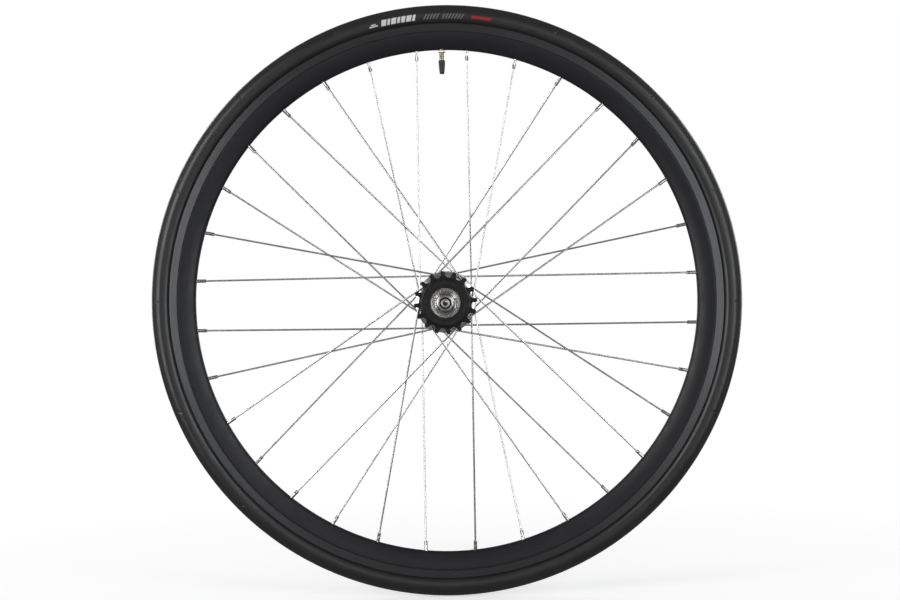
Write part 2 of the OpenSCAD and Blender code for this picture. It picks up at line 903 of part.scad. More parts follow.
// Turned pieces on the valve's line: x is their radius, y the radius of the wheel
module on_valve() {
    rotate([-90, 0, 0]) rotate_extrude() children();
}

module valve_stem() {
    color("#c9b57a") on_axle() difference() {
        on_valve() union() {
            translate([0, cap_top + 0.2]) square([stem_d / 2, stem_top - cap_top - 0.2]);
            translate([0, stem_end]) square([tip_stem_r, cap_top + 1 - stem_end]);
        }
        valve_bore(air_r, stem_end - over, stem_top + over);
    }
}

module valve_core_pin() {
    color("#d9c27e") on_axle() on_valve() translate([0, pin_tip]) square([pin_r, pin_l]);
}

module valve_nut() {
    color("#d9c27e") on_axle() on_valve()
        translate([pin_r + seat_gap, stem_end - nut_h - seat_gap]) square([nut_r - pin_r, nut_h]);
}

module valve_lock_ring() {
    color("#b9babc") on_axle() on_valve()
        translate([stem_d / 2 + seat_gap, nose_r - lock_ring_h - seat_gap]) square([lock_ring_t, lock_ring_h]);
}

module valve_cap() {
    closed_end = cap_top - cap_l;
    color("#1a1a1c") on_axle() on_valve() outline([
        [0, closed_end],
        [cap_end_r - 0.7, closed_end],
        [cap_end_r, closed_end + 0.8],
        [cap_grip_r, cap_top - 3.5],
        [cap_grip_r, cap_top - 0.4],
        [cap_grip_r - 0.3, cap_top],
        [tip_stem_r + 0.08, cap_top],
        [tip_stem_r + 0.08, cap_top - 7],
        [cap_inner_r, cap_top - 8],
        [cap_inner_r, closed_end + cap_floor],
        [0, closed_end + cap_floor]
    ]);
}

// ---------------------------------------------------------------- the wheel

axle();
drive_cone();
non_drive_cone();
drive_lock_washer();
non_drive_lock_washer();
drive_spacer();
non_drive_spacer();
drive_locknut();
non_drive_locknut();
drive_balls();
non_drive_balls();
hub_barrel();
drive_hub_flange();
non_drive_hub_flange();
drive_cup();
non_drive_cup();
drive_dust_cap();
non_drive_dust_cap();
drive_outer_spokes();
drive_inner_spokes();
non_drive_outer_spokes();
non_drive_inner_spokes();
drive_nipples();
non_drive_nipples();
rim();
rim_tape();
inner_tube();
tyre();
valve_stem();
valve_core_pin();
valve_nut();
valve_lock_ring();
valve_cap();
freewheel_inner_body();
freewheel_lockring();
freewheel_shim();
freewheel_front_balls();
freewheel_rear_balls();
freewheel_sprocket();
pawl_a();
pawl_b();
pawl_spring_a();
pawl_spring_b();
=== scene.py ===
"""Looks of the bicycle rear wheel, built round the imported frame.

The axle lies along Y, the drive side faces -Y and the valve stands at the top, +Z.
Sections are given in millimetres as (radius, w), where w is the distance from the
wheel's middle plane towards the drive side. Turns are degrees clockwise from the
top, as seen from the drive side.
"""
import math
import random

import bmesh
import bpy
from mathutils import Matrix, Vector


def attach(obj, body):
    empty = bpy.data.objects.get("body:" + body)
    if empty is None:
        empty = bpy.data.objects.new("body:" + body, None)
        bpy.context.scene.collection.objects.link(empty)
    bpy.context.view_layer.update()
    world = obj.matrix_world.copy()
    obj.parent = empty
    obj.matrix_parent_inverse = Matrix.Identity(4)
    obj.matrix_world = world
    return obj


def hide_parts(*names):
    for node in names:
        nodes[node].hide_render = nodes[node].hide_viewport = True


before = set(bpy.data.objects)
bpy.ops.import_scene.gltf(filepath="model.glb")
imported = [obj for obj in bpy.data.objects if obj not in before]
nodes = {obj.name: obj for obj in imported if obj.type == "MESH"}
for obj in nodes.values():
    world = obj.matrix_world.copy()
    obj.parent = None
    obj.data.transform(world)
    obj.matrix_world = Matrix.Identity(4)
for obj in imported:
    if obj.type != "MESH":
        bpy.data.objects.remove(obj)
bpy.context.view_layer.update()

MM = 0.001
SEED = 7
SHARP = math.radians(32)

# ------------------------------------------------------------------ mesh helpers


def place(r, turn, w):
    """A point of the wheel, in metres, from a radius, a turn and a w in millimetres."""
    a = math.radians(turn)
    return Vector((r * math.sin(a), -w, r * math.cos(a))) * MM


def finish_mesh(name, bm, sharp=SHARP):
    bmesh.ops.remove_doubles(bm, verts=bm.verts, dist=1e-8)
    bmesh.ops.recalc_face_normals(bm, faces=bm.faces)
    mesh = bpy.data.meshes.new(name)
    bm.to_mesh(mesh)
    bm.free()
    mesh.shade_smooth()
    mesh.set_sharp_from_angle(angle=sharp)
    piece = bpy.data.objects.new(name, mesh)
    bpy.context.scene.collection.objects.link(piece)
    return piece


def grid_faces(bm, columns, closed_rows, material=None):
    """Quads between neighbouring columns, all the way round, with triangles at shared poles."""
    for j, a in enumerate(columns):
        b = columns[(j + 1) % len(columns)]
        rows = len(a)
        for i in range(rows if closed_rows else rows - 1):
            i2 = (i + 1) % rows
            corners = []
            for v in (a[i], a[i2], b[i2], b[i]):
                if v not in corners:
                    corners.append(v)
            if len(corners) < 3:
                continue
            face = bm.faces.new(corners)
            if material:
                face.material_index = material(i)


def sweep(name, profile, turns, at, shape=None, material=None, sharp=SHARP):
    """Turns a closed section round a line, or an open one that starts and ends on the line.

    at(r, turn, w) gives a point's place, and shape(turn, r, w) may first change its r and w.
    """
    bm = bmesh.new()
    poles = {}
    columns = []
    for turn in turns:
        column = []
        for i, (r, w) in enumerate(profile):
            if r == 0:
                if i not in poles:
                    poles[i] = bm.verts.new(at(0, 0, w))
                column.append(poles[i])
                continue
            if shape:
                r, w = shape(turn, r, w)
            column.append(bm.verts.new(at(r, turn, w)))
        columns.append(column)
    grid_faces(bm, columns, not poles, material)
    return finish_mesh(name, bm, sharp)


def even_turns(count):
    return [360.0 * j / count for j in range(count)]


def lathe(name, profile, turns, shape=None, material=None, sharp=SHARP):
    """Turns a section of (radius, w) round the axle. turns is a list, or a count of even ones."""
    if isinstance(turns, int):
        turns = even_turns(turns)
    return sweep(name, profile, turns, place, shape, material, sharp)


def fluted(r, turn, count, depth):
    """A radius with a number of rounded flutes cut into it."""
    return r - depth * (0.5 + 0.5 * math.cos(math.radians(turn * count)))


def rounded(points, radius, steps=3):
    """The same closed outline with its corners rounded; a third number in a point is its own radius."""
    out = []
    count = len(points)
    for i, p in enumerate(points):
        here = Vector(p[:2])
        r = p[2] if len(p) > 2 else radius
        if r == 0:
            out.append((here.x, here.y))
            continue
        to_last = Vector(points[i - 1][:2]) - here
        to_next = Vector(points[(i + 1) % count][:2]) - here
        if to_last.length < 1e-6 or to_next.length < 1e-6:
            out.append((here.x, here.y))
            continue
        angle = to_last.angle(to_next)
        if angle > math.radians(176):
            out.append((here.x, here.y))
            continue
        cut = min(r / math.tan(angle / 2), 0.45 * to_last.length, 0.45 * to_next.length)
        start = here + to_last.normalized() * cut
        end = here + to_next.normalized() * cut
        for s in range(steps + 1):
            t = s / steps
            q = start * (1 - t) ** 2 + here * 2 * t * (1 - t) + end * t**2
            out.append((q.x, q.y))
    return out


def both_sides(half):
    """A closed section from its drive-side half, listed from the middle plane and back to it."""
    return list(half) + [(r, -w) for r, w in reversed(half) if abs(w) > 1e-9]


def cut(piece, cutters):
    """Takes the cutters' shapes out of a piece."""
    bm = bmesh.new()
    for c in cutters:
        bm.from_mesh(c.data)
    mesh = bpy.data.meshes.new("cutters")
    bm.to_mesh(mesh)
    bm.free()
    cutter = bpy.data.objects.new("cutters", mesh)
    bpy.context.scene.collection.objects.link(cutter)
    modifier = piece.modifiers.new("holes", "BOOLEAN")
    modifier.operation = "DIFFERENCE"
    modifier.solver = "MANIFOLD"
    modifier.object = cutter
    graph = bpy.context.evaluated_depsgraph_get()
    result = bpy.data.meshes.new_from_object(piece.evaluated_get(graph))
    piece.modifiers.clear()
    old = piece.data
    piece.data = result
    bpy.data.meshes.remove(old)
    for c in [cutter] + list(cutters):
        m = c.data
        bpy.data.objects.remove(c)
        bpy.data.meshes.remove(m)
    piece.data.shade_smooth()
    piece.data.set_sharp_from_angle(angle=SHARP)
    return piece


def tube_between(name, start, end, radius, sides=24):
    """A plain closed cylinder between two points, in metres, for cutting holes."""
    axis = (end - start).normalized()
    across = axis.orthogonal().normalized()
    up = axis.cross(across)
    bm = bmesh.new()
    rings = []
    for centre in (start, end):
        rings.append([
            bm.verts.new(centre + radius * (across * math.cos(t) + up * math.sin(t)))
            for t in (2 * math.pi * s / sides for s in range(sides))
        ])
    for s in range(sides):
        t = (s + 1) % sides
        bm.faces.new((rings[0][s], rings[0][t], rings[1][t], rings[1][s]))
    bm.faces.new(rings[0])
    bm.faces.new(rings[1])
    return finish_mesh(name, bm)


def put(piece, body, slot, *stands_for, materials=()):
    """Hangs a piece on its body, gives it the materials listed and hides the CAD nodes it stands for."""
    if materials:
        piece.data.materials.clear()
        for m in materials:
            piece.data.materials.append(m)
    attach(piece, body)
    if stands_for:
        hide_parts(*stands_for)
    return piece


# ------------------------------------------------------------------ materials


class Finish:
    """A material under construction, with short names for the nodes used here."""

    def __init__(self, name, metallic=0.0, **values):
        self.material = bpy.data.materials.new(name)
        self.material.use_nodes = True
        self.tree = self.material.node_tree
        self.shader = self.tree.nodes["Principled BSDF"]
        self.shader.inputs["Metallic"].default_value = metallic
        for key, value in values.items():
            self.shader.inputs[key.replace("_", " ")].default_value = value
        self.object_space = self.add("ShaderNodeTexCoord").outputs["Object"]

    def add(self, kind, inputs=None, **properties):
        node = self.tree.nodes.new(kind)
        for key, value in properties.items():
            setattr(node, key, value)
        for key, value in (inputs or {}).items():
            if hasattr(value, "links"):
                self.link(value, node.inputs[key])
            else:
                node.inputs[key].default_value = value
        return node

    def link(self, a, b):
        self.tree.links.new(a, b)

    def math(self, operation, a, b=0.0):
        return self.add("ShaderNodeMath", {0: a, 1: b}, operation=operation).outputs[0]

    def polar(self, across=1.0, around=1.0, along=1.0):
        """Coordinates that run with the wheel: radius, turn and place along the axle."""
        x, y, z = self.add("ShaderNodeSeparateXYZ", {0: self.object_space}).outputs
        r = self.math("SQRT", self.math("ADD", self.math("MULTIPLY", x, x), self.math("MULTIPLY", z, z)))
        turn = self.math("ARCTAN2", x, z)
        scaled = [self.math("MULTIPLY", value, scale) for value, scale in ((r, across), (turn, around), (y, along))]
        return self.add("ShaderNodeCombineXYZ", dict(enumerate(scaled))).outputs[0]

    def noise(self, vector=None, scale=200.0, detail=3.0, roughness=0.55):
        inputs = {"Vector": vector or self.object_space, "Scale": scale, "Detail": detail, "Roughness": roughness}
        return self.add("ShaderNodeTexNoise", inputs).outputs["Fac"]

    def wave(self, vector, scale, distortion=0.0, direction="X"):
        inputs = {"Vector": vector, "Scale": scale, "Distortion": distortion}
        return self.add("ShaderNodeTexWave", inputs, wave_type="BANDS", bands_direction=direction).outputs["Fac"]

    def spread(self, value, low, high, from_low=0.3, from_high=0.7):
        inputs = {"Value": value, "From Min": from_low, "From Max": from_high, "To Min": low, "To Max": high}
        return self.add("ShaderNodeMapRange", inputs).outputs["Result"]

    def colours(self, value, *stops):
        node = self.add("ShaderNodeValToRGB")
        ramp = node.color_ramp
        while len(ramp.elements) < len(stops):
            ramp.elements.new(0.5)
        for element, (at, colour) in zip(ramp.elements, stops):
            element.position = at
            element.color = (*colour, 1.0)
        self.link(value, node.inputs["Fac"])
        self.link(node.outputs["Color"], self.shader.inputs["Base Color"])
        return node.outputs["Color"]

    def roughness(self, value, low, high):
        self.link(self.spread(value, low, high), self.shader.inputs["Roughness"])

    def bump(self, height, depth_mm, strength=1.0, under=None):
        inputs = {"Strength": strength, "Distance": depth_mm * MM, "Height": height}
        if under:
            inputs["Normal"] = under
        normal = self.add("ShaderNodeBump", inputs).outputs["Normal"]
        self.link(normal, self.shader.inputs["Normal"])
        return normal


def grey(v, warm=0.0):
    return (v * (1 + warm), v, v * (1 - warm))


def rubber(name, dark, light, rough=(0.42, 0.56), grain_mm=0.03):
    f = Finish(name, Specular_IOR_Level=0.42)
    cloud = f.noise(scale=26, detail=5)
    f.colours(cloud, (0.3, grey(dark)), (0.7, grey(light, 0.02)))
    f.roughness(f.noise(scale=60, detail=4), *rough)
    f.bump(f.noise(scale=1500, detail=2), grain_mm, 0.6)
    return f


def turned_metal(name, colour, rough=(0.2, 0.34), anisotropy=0.55, groove_mm=0.006, dark=0.75):
    """Metal finished on a lathe: fine rings, and grime that gathers unevenly."""
    f = Finish(name, metallic=1.0, Anisotropic=anisotropy, Anisotropic_Rotation=0.25)
    tangent = f.add("ShaderNodeTangent", direction_type="RADIAL", axis="Y")
    f.link(tangent.outputs[0], f.shader.inputs["Tangent"])
    rings = f.noise(f.polar(across=5200, around=1.2, along=5200), scale=1.0, detail=2)
    cloud = f.noise(scale=140, detail=4)
    f.colours(cloud, (0.25, tuple(c * dark for c in colour)), (0.65, colour))
    f.roughness(f.noise(scale=320, detail=3), *rough)
    f.bump(rings, groove_mm, 0.5)
    return f


def plated(name, colour, rough=(0.16, 0.3), dark=0.7, scale=220):
    f = Finish(name, metallic=1.0)
    f.colours(f.noise(scale=scale, detail=4), (0.28, tuple(c * dark for c in colour)), (0.62, colour))
    f.roughness(f.noise(scale=scale * 2, detail=3), *rough)
    f.bump(f.noise(scale=2600, detail=2), 0.006, 0.5)
    return f


def tyre_rubber():
    f = Finish("tyre_rubber", Specular_IOR_Level=0.62)
    cloud = f.noise(scale=18, detail=6)
    f.colours(cloud, (0.3, grey(0.0125)), (0.55, grey(0.0165)), (0.8, grey(0.021, 0.03)))
    f.roughness(f.noise(scale=45, detail=5), 0.36, 0.46)
    # cords of the casing, lying at a slant on the sidewall, under a fine moulded grain
    cords = f.wave(f.polar(across=1400, around=560, along=0), 1.0, distortion=0.4)
    under = f.bump(cords, 0.012, 0.35)
    f.bump(f.noise(scale=1900, detail=2), 0.025, 0.5, under)
    return f.material


def rim_black():
    f = Finish("rim_black", Specular_IOR_Level=0.4)
    f.colours(f.noise(scale=14, detail=5), (0.3, (0.0095, 0.0098, 0.0118)), (0.7, (0.0135, 0.0135, 0.0158)))
    f.roughness(f.noise(scale=70, detail=4), 0.4, 0.5)
    f.bump(f.noise(scale=900, detail=3), 0.012, 0.45)
    return f.material


def brake_track():
    f = Finish("brake_track", metallic=1.0, Anisotropic=0.85, Anisotropic_Rotation=0.25)
    tangent = f.add("ShaderNodeTangent", direction_type="RADIAL", axis="Y")
    f.link(tangent.outputs[0], f.shader.inputs["Tangent"])
    lines = f.noise(f.polar(across=4200, around=2.4, along=0), scale=1.0, detail=3)
    f.colours(lines, (0.3, (0.082, 0.083, 0.088)), (0.52, (0.125, 0.126, 0.13)), (0.78, (0.17, 0.17, 0.172)))
    f.roughness(f.noise(f.polar(across=900, around=6, along=0), scale=1.0, detail=3), 0.46, 0.56)
    f.bump(lines, 0.02, 0.5)
    return f.material


def spoke_steel():
    f = Finish("spoke_steel", metallic=1.0)
    f.colours(f.noise(scale=60, detail=3), (0.3, grey(0.62)), (0.7, grey(0.76)))
    f.roughness(f.noise(scale=120, detail=2), 0.24, 0.32)
    f.bump(f.noise(scale=2200, detail=2), 0.002, 0.3)
    return f.material


def black_steel(name="freewheel_black", rough=(0.34, 0.5)):
    """Black oxide on turned steel: faint rings, thin and slightly brown where it is handled."""
    f = Finish(name, metallic=0.55, Specular_IOR_Level=0.5)
    rings = f.noise(f.polar(across=2600, around=0.8, along=2600), scale=1.0, detail=3)
    cloud = f.noise(scale=160, detail=5)
    mixed = f.math("ADD", f.math("MULTIPLY", rings, 0.45), f.math("MULTIPLY", cloud, 0.55))
    f.colours(mixed, (0.32, (0.015, 0.015, 0.0155)), (0.56, (0.026, 0.0257, 0.0257)), (0.74, (0.045, 0.043, 0.041)))
    f.roughness(f.noise(scale=420, detail=3), *rough)
    f.bump(rings, 0.02, 0.5)
    return f.material


def cloth_tape():
    f = Finish("cloth_tape", Sheen_Weight=0.15)
    across = f.wave(f.polar(across=0, around=310, along=0), 1.0, direction="Y")
    along = f.wave(f.polar(across=0, around=0, along=980), 1.0, direction="Z")
    weave = f.math("MULTIPLY", across, along)
    f.colours(weave, (0.1, (0.52, 0.5, 0.45)), (0.8, (0.78, 0.77, 0.72)))
    f.roughness(weave, 0.75, 0.9)
    f.bump(weave, 0.08, 0.7)
    return f.material


def moulded_plastic():
    f = Finish("cap_plastic", Specular_IOR_Level=0.5)
    f.colours(f.noise(scale=500, detail=3), (0.3, grey(0.018)), (0.7, grey(0.026)))
    f.roughness(f.noise(scale=900, detail=3), 0.32, 0.46)
    f.bump(f.noise(scale=3500, detail=2), 0.01, 0.5)
    return f.material


def ink(name, colour, worn):
    """Printed rubber ink, slightly broken up by the sidewall under it."""
    f = Finish(name, Specular_IOR_Level=0.3)
    f.colours(f.noise(scale=1200, detail=3), (0.2, worn), (0.42, colour))
    f.roughness(f.noise(scale=500, detail=2), 0.5, 0.66)
    f.bump(f.noise(scale=2400, detail=2), 0.02, 0.5)
    return f.material


TYRE = tyre_rubber()
RIM = rim_black()
TRACK = brake_track()
SPOKE = spoke_steel()
BLACK = black_steel()
# near-black finish for the locknuts' face recess: painted shade where the gap round the axle falls dark
RECESS_SHADE = black_steel("nut_recess_painted_shade", (0.5, 0.7))
TAPE = cloth_tape()
CAP = moulded_plastic()
TUBE = rubber("tube_rubber", 0.014, 0.024, (0.6, 0.75), 0.05).material
NIPPLE = plated("nipple_plate", (0.74, 0.73, 0.69), (0.18, 0.32)).material
HUB = turned_metal("hub_aluminium", (0.62, 0.62, 0.63), (0.2, 0.34)).material
AXLE = plated("axle_zinc", (0.6, 0.585, 0.57), (0.26, 0.42), 0.6, 500).material
CONE = turned_metal("cone_steel", (0.52, 0.51, 0.5), (0.22, 0.36), 0.4).material
ZINC = turned_metal("washer_zinc", (0.5, 0.49, 0.475), (0.28, 0.44), 0.4, 0.01, 0.6).material
NUT = turned_metal("nut_zinc", (0.72, 0.7, 0.675), (0.18, 0.32), 0.4, 0.008, 0.6).material
DUST_CAP = turned_metal("dust_cap_plate", (0.92, 0.905, 0.88), (0.2, 0.28), 0.2, 0.002, 0.92).material
CUP = turned_metal("cup_steel", (0.5, 0.5, 0.51), (0.14, 0.26), 0.5).material
BALL = plated("ball_steel", (0.8, 0.8, 0.82), (0.05, 0.1), 0.9).material
SHIM = plated("shim_steel", (0.46, 0.42, 0.34), (0.3, 0.42)).material
PAWL = plated("pawl_steel", (0.34, 0.32, 0.29), (0.28, 0.42), 0.6, 400).material
HAIR_SPRING = plated("hair_spring_steel", (0.3, 0.31, 0.38), (0.2, 0.3)).material
BRASS = plated("valve_plate", (0.72, 0.68, 0.56), (0.2, 0.34), 0.72, 600).material
RING = plated("lock_ring_plate", (0.74, 0.72, 0.66), (0.22, 0.36), 0.7, 600).material
WHITE_INK = ink("white_ink", (0.74, 0.74, 0.73), (0.3, 0.3, 0.3))
GREY_INK = ink("grey_ink", (0.16, 0.16, 0.165), (0.05, 0.05, 0.05))
RED_INK = ink("red_ink", (0.42, 0.02, 0.018), (0.12, 0.01, 0.01))

# ------------------------------------------------------------------ tyre

TYRE_R = 336.0
SECTION_R = 12.5
SECTION_C = TYRE_R - SECTION_R
MARKS = 16
MARK_STEP = 360 / MARKS
MARK_AT = 0.9
MARK_R = 327.6


def sidewall(r):
    """How far the tyre's outside stands from the middle plane at a radius."""
    return math.sqrt(max(0.0, SECTION_R**2 - (r - SECTION_C) ** 2))


def tyre_profile():
    half = []
    # tread, from the crown outwards, with the parting ridge and the edge of the tread cap
    for angle in (0, 0.7, 1.4, 4, 8, 12, 17, 22, 27, 32, 37, 42, 46, 49, 50.2, 51.2, 54, 58, 62, 66, 70, 74, 78, 82):
        a = math.radians(angle)
        inset = 0.0
        if angle < 1:
            inset = 0.02
        elif angle < 3:
            inset = 0.14
        elif angle <= 50.2:
            inset = 0.12
        else:
            inset = 0.34 * max(0.0, 1 - (angle - 51.2) / 40)
        r = SECTION_R - inset
        half.append((SECTION_C + r * math.cos(a), r * math.sin(a)))
    # sidewall down to the rim line, with the moulded rim line, then in and over the rim's edge to the bead
    for r, inset in ((324.6, 0.1), (323.4, 0.06), (322.2, 0.05), (321.0, 0.06), (319.9, 0.1), (319.4, 0.02),
                     (319.0, 0.02), (318.6, 0.12), (317.8, 0.1), (317.0, 0.12), (316.6, 0.25)):
        half.append((r, sidewall(r) - inset))
    half += [(316.2, 9.7), (315.6, 9.15), (314.9, 8.62), (314.3, 8.36), (313.2, 8.36),
             (312.2, 8.2), (311.5, 7.6), (311.25, 6.9), (311.5, 6.1), (312.4, 5.75), (313.6, 6.0), (315, 6.9),
             (316.6, 8.3), (318.4, 9.3), (320.5, 9.9), (322.2, 10.0), (324.5, 9.7), (327, 8.7), (329.5, 6.9),
             (331.5, 4.2)]
    half.append((332.3, 0.0))
    return half


def tyre_turns():
    turns = [0.75 * j for j in range(480)]
    for k in range(MARKS):
        middle = MARK_AT + MARK_STEP * k
        turns += [middle + 0.11 * s for s in range(-6, 7)]
    turns = sorted(set(round(t % 360, 4) for t in turns))
    kept = [turns[0]]
    for t in turns[1:]:
        if t - kept[-1] > 0.04:
            kept.append(t)
    return kept


def tyre_shape(turn, r, w):
    """Presses the short slanted notches into both shoulders."""
    if abs(w) < 8 or r < MARK_R - 4 or r > MARK_R + 4:
        return r, w
    off = (turn - MARK_AT + MARK_STEP / 2) % MARK_STEP - MARK_STEP / 2
    along = off * math.radians(1) * r - 0.35 * (r - MARK_R)
    depth = 0.55 * max(0.0, 1 - (along / 1.0) ** 2) * max(0.0, 1 - ((r - MARK_R) / 2.4) ** 2)
    return r - depth * 0.3, w - math.copysign(depth, w)


def build_tyre():
    half = tyre_profile()
    # more points round the notches
    dense = []
    for i, p in enumerate(half):
        dense.append(p)
        if i + 1 < len(half):
            q = half[i + 1]
            if MARK_R - 3.5 < min(p[0], q[0]) and max(p[0], q[0]) < MARK_R + 4.5 and p[1] > 9:
                for t in (0.33, 0.66):
                    dense.append((p[0] + (q[0] - p[0]) * t, p[1] + (q[1] - p[1]) * t))
    piece = lathe("tyre_slick", both_sides(dense), tyre_turns(), tyre_shape, sharp=math.radians(50))
    put(piece, "wheel", "tyre_rubber", "tyre", materials=[TYRE])


LABEL_R = 322.3
LABEL_H = 6.6
INK_T = 0.09


def ink_patch(bm, corners, steps=(6, 4)):
    """A thin raised patch on the drive-side sidewall; corners are (turn, r), in order."""
    (a, b, c, d) = corners
    lower, upper = [], []
    for i in range(steps[0] + 1):
        u = i / steps[0]
        low, high = [], []
        for j in range(steps[1] + 1):
            v = j / steps[1]
            turn = (a[0] * (1 - u) + b[0] * u) * (1 - v) + (d[0] * (1 - u) + c[0] * u) * v
            r = (a[1] * (1 - u) + b[1] * u) * (1 - v) + (d[1] * (1 - u) + c[1] * u) * v
            w = sidewall(r) - 0.06
            low.append(bm.verts.new(place(r, turn, w - 0.1)))
            high.append(bm.verts.new(place(r, turn, w + INK_T)))
        lower.append(low)
        upper.append(high)
    nu, nv = steps
    for i in range(nu):
        for j in range(nv):
            bm.faces.new((upper[i][j], upper[i + 1][j], upper[i + 1][j + 1], upper[i][j + 1]))
            bm.faces.new((lower[i][j], lower[i][j + 1], lower[i + 1][j + 1], lower[i + 1][j]))
    for i in range(nu):
        for j in (0, nv):
            bm.faces.new((lower[i][j], lower[i + 1][j], upper[i + 1][j], upper[i][j]))
    for j in range(nv):
        for i in (0, nu):
            bm.faces.new((lower[i][j], lower[i][j + 1], upper[i][j + 1], upper[i][j]))


def slanted(bm, start, width, height=LABEL_H, middle=LABEL_R, slant=0.35):
    low, high = middle - height / 2, middle + height / 2
    ink_patch(bm, [(start, low), (start + width, low), (start + width + slant, high), (start + slant, high)])


def build_label():
    """Plain bars stand where the tyre carries its print: no letters and no mark."""
    white = bmesh.new()
    slanted(white, -14.6, 1.7, 1.3, LABEL_R - 1.6, 0.1)
    slanted(white, -14.2, 1.0, 1.1, LABEL_R + 0.3, 0.1)
    start = -12.2
    for width in (1.0, 0.55, 1.0, 0.55, 0.8, 1.0, 0.55):
        slanted(white, start, width)
        start += width + 0.24
    put(finish_mesh("tyre_white_bars", white), "wheel", "tyre_rubber", materials=[WHITE_INK])
    hatch = bmesh.new()
    for first, count in ((-3.6, 5), (0.1, 7)):
        for i in range(count):
            slanted(hatch, first + i * 0.62, 0.3, LABEL_H - 0.8, slant=0.6)
    put(finish_mesh("tyre_grey_hatch", hatch), "wheel", "tyre_rubber", materials=[GREY_INK])
    red = bmesh.new()
    slanted(red, 6.1, 3.9, 3.0, LABEL_R - 0.2, 0.15)
    put(finish_mesh("tyre_red_bar", red), "wheel", "tyre_rubber", materials=[RED_INK])


# ------------------------------------------------------------------ lacing

SPOKES = 32
NIPPLE_STEP = 360 / SPOKES
LACE = 3 * 2 * NIPPLE_STEP
HOLE_R = 30.0
SEAT_R = 288.0
FLANGE_MID = 34.0
FLANGE_OUT = 35.6
FLANGE_IN = 32.4
SPOKE_R = 1.0
ELBOW_R = 1.6
ELBOW_RISE = 1.35
RUN = math.sqrt(HOLE_R**2 + SEAT_R**2 - 2 * HOLE_R * SEAT_R * math.cos(math.radians(LACE)))
OFFSET = HOLE_R * SEAT_R * math.sin(math.radians(LACE)) / RUN
FOOT = math.acos(OFFSET / HOLE_R)
CROSS_AT = OFFSET * (math.tan(FOOT + 5 * math.radians(NIPPLE_STEP)) - math.tan(FOOT))
CROSS_MID = FLANGE_MID * (1 - CROSS_AT / RUN)
CROSS_SHIFT = SPOKE_R + 0.1
BEND_REACH = 7.0


def lace(k):
    """Side, kind, hole turn and nipple turn of one spoke."""
    nipple = (k + 0.5) * NIPPLE_STEP
    outside = k % 4 < 2
    return (1 if k % 2 else -1), outside, nipple + (LACE if outside else -LACE), nipple


def spoke_space(k):
    """Turns a point of a spoke's own plane, with a sideways distance, into the wheel's space."""
    side, outside, hole_turn, nipple_turn = lace(k)
    hole = place(HOLE_R, hole_turn, 0)
    seat = place(SEAT_R, nipple_turn, 0)
    along = (seat - hole).normalized()
    out = Vector((0, -side, 0))
    sideways = along.cross(out)

    def to_wheel(x, w, s=0.0):
        return hole + (along * x + out * w + sideways * s) * MM

    return to_wheel, outside


def spoke_path(outside):
    bow = Vector((CROSS_AT, CROSS_MID + (-CROSS_SHIFT if outside else CROSS_SHIFT)))
    centre = Vector((ELBOW_R, FLANGE_OUT + ELBOW_RISE - ELBOW_R if outside else FLANGE_IN - ELBOW_RISE + ELBOW_R))
    reach = bow - centre
    swing = math.asin(ELBOW_R / reach.length)
    heading = math.atan2(reach.y, reach.x) + (-swing if outside else swing)
    top = 1 if outside else -1
    leave = centre + Vector((-math.sin(heading), math.cos(heading))) * top * ELBOW_R
    start = Vector((0.0, FLANGE_IN if outside else FLANGE_OUT))
    path = [start, Vector((0.0, start.y + (centre.y - start.y) * 0.5))]
    # the elbow runs from the flange's face to where it leaves for the bend at the crossing
    steps = 9
    first = math.pi
    last = heading + top * math.pi / 2
    if not outside and last < 0:
        last += 2 * math.pi
    for s in range(steps + 1):
        a = first + (last - first) * s / steps
        path.append(centre + Vector((math.cos(a), math.sin(a))) * ELBOW_R)
    path[-1] = leave
    end = Vector((RUN, 0.0))
    before, after = (leave - bow).normalized(), (end - bow).normalized()
    for t in (0.25, 0.5, 0.75):
        path.append(leave.lerp(bow + before * BEND_REACH, t))
    for s in range(7):
        t = s / 6
        a, c = bow + before * BEND_REACH, bow + after * BEND_REACH
        path.append(a * (1 - t) ** 2 + bow * 2 * t * (1 - t) + c * t**2)
    for t in (0.2, 0.4, 0.6, 0.8, 1.0):
        path.append((bow + after * BEND_REACH).lerp(end + after, t))
    return path


HEAD = ((-1.05, 0.0), (-1.03, 0.9), (-0.9, 1.5), (-0.65, 1.98), (-0.35, 2.18), (-0.08, 2.2), (0.0, 2.1), (0.0, 1.08))


def add_spoke(bm, k, sides=20):
    to_wheel, outside = spoke_space(k)
    path = spoke_path(outside)
    stations = []
    lead = (path[1] - path[0]).normalized()
    for s, r in HEAD:
        stations.append((path[0] + lead * s, lead, r))
    for i, p in enumerate(path):
        a = path[max(0, i - 1)]
        b = path[min(len(path) - 1, i + 1)]
        stations.append((p, (b - a).normalized(), SPOKE_R))
    stations.append((path[-1], (path[-1] - path[-2]).normalized(), 0.0))
    rings = []
    for p, t, r in stations:
        if r == 0:
            v = bm.verts.new(to_wheel(p.x, p.y))
            rings.append([v] * sides)
            continue
        n = Vector((-t.y, t.x))
        ring = []
        for s in range(sides):
            a = 2 * math.pi * s / sides
            q = p + n * (r * math.cos(a))
            ring.append(bm.verts.new(to_wheel(q.x, q.y, r * math.sin(a))))
        rings.append(ring)
    columns = [[ring[s] for ring in rings] for s in range(sides)]
    grid_faces(bm, columns, False)


def build_spokes():
    for side, side_name in ((1, "drive"), (-1, "non_drive")):
        for outside, kind in ((True, "outer"), (False, "inner")):
            bm = bmesh.new()
            for k in range(SPOKES):
                if lace(k)[:2] == (side, outside):
                    add_spoke(bm, k)
            piece = finish_mesh(f"{side_name}_{kind}_spoke_set", bm, math.radians(45))
            put(piece, "wheel", "spoke_steel", f"{side_name}_{kind}_spokes", materials=[SPOKE])


NIPPLE_FLATS = 1.65
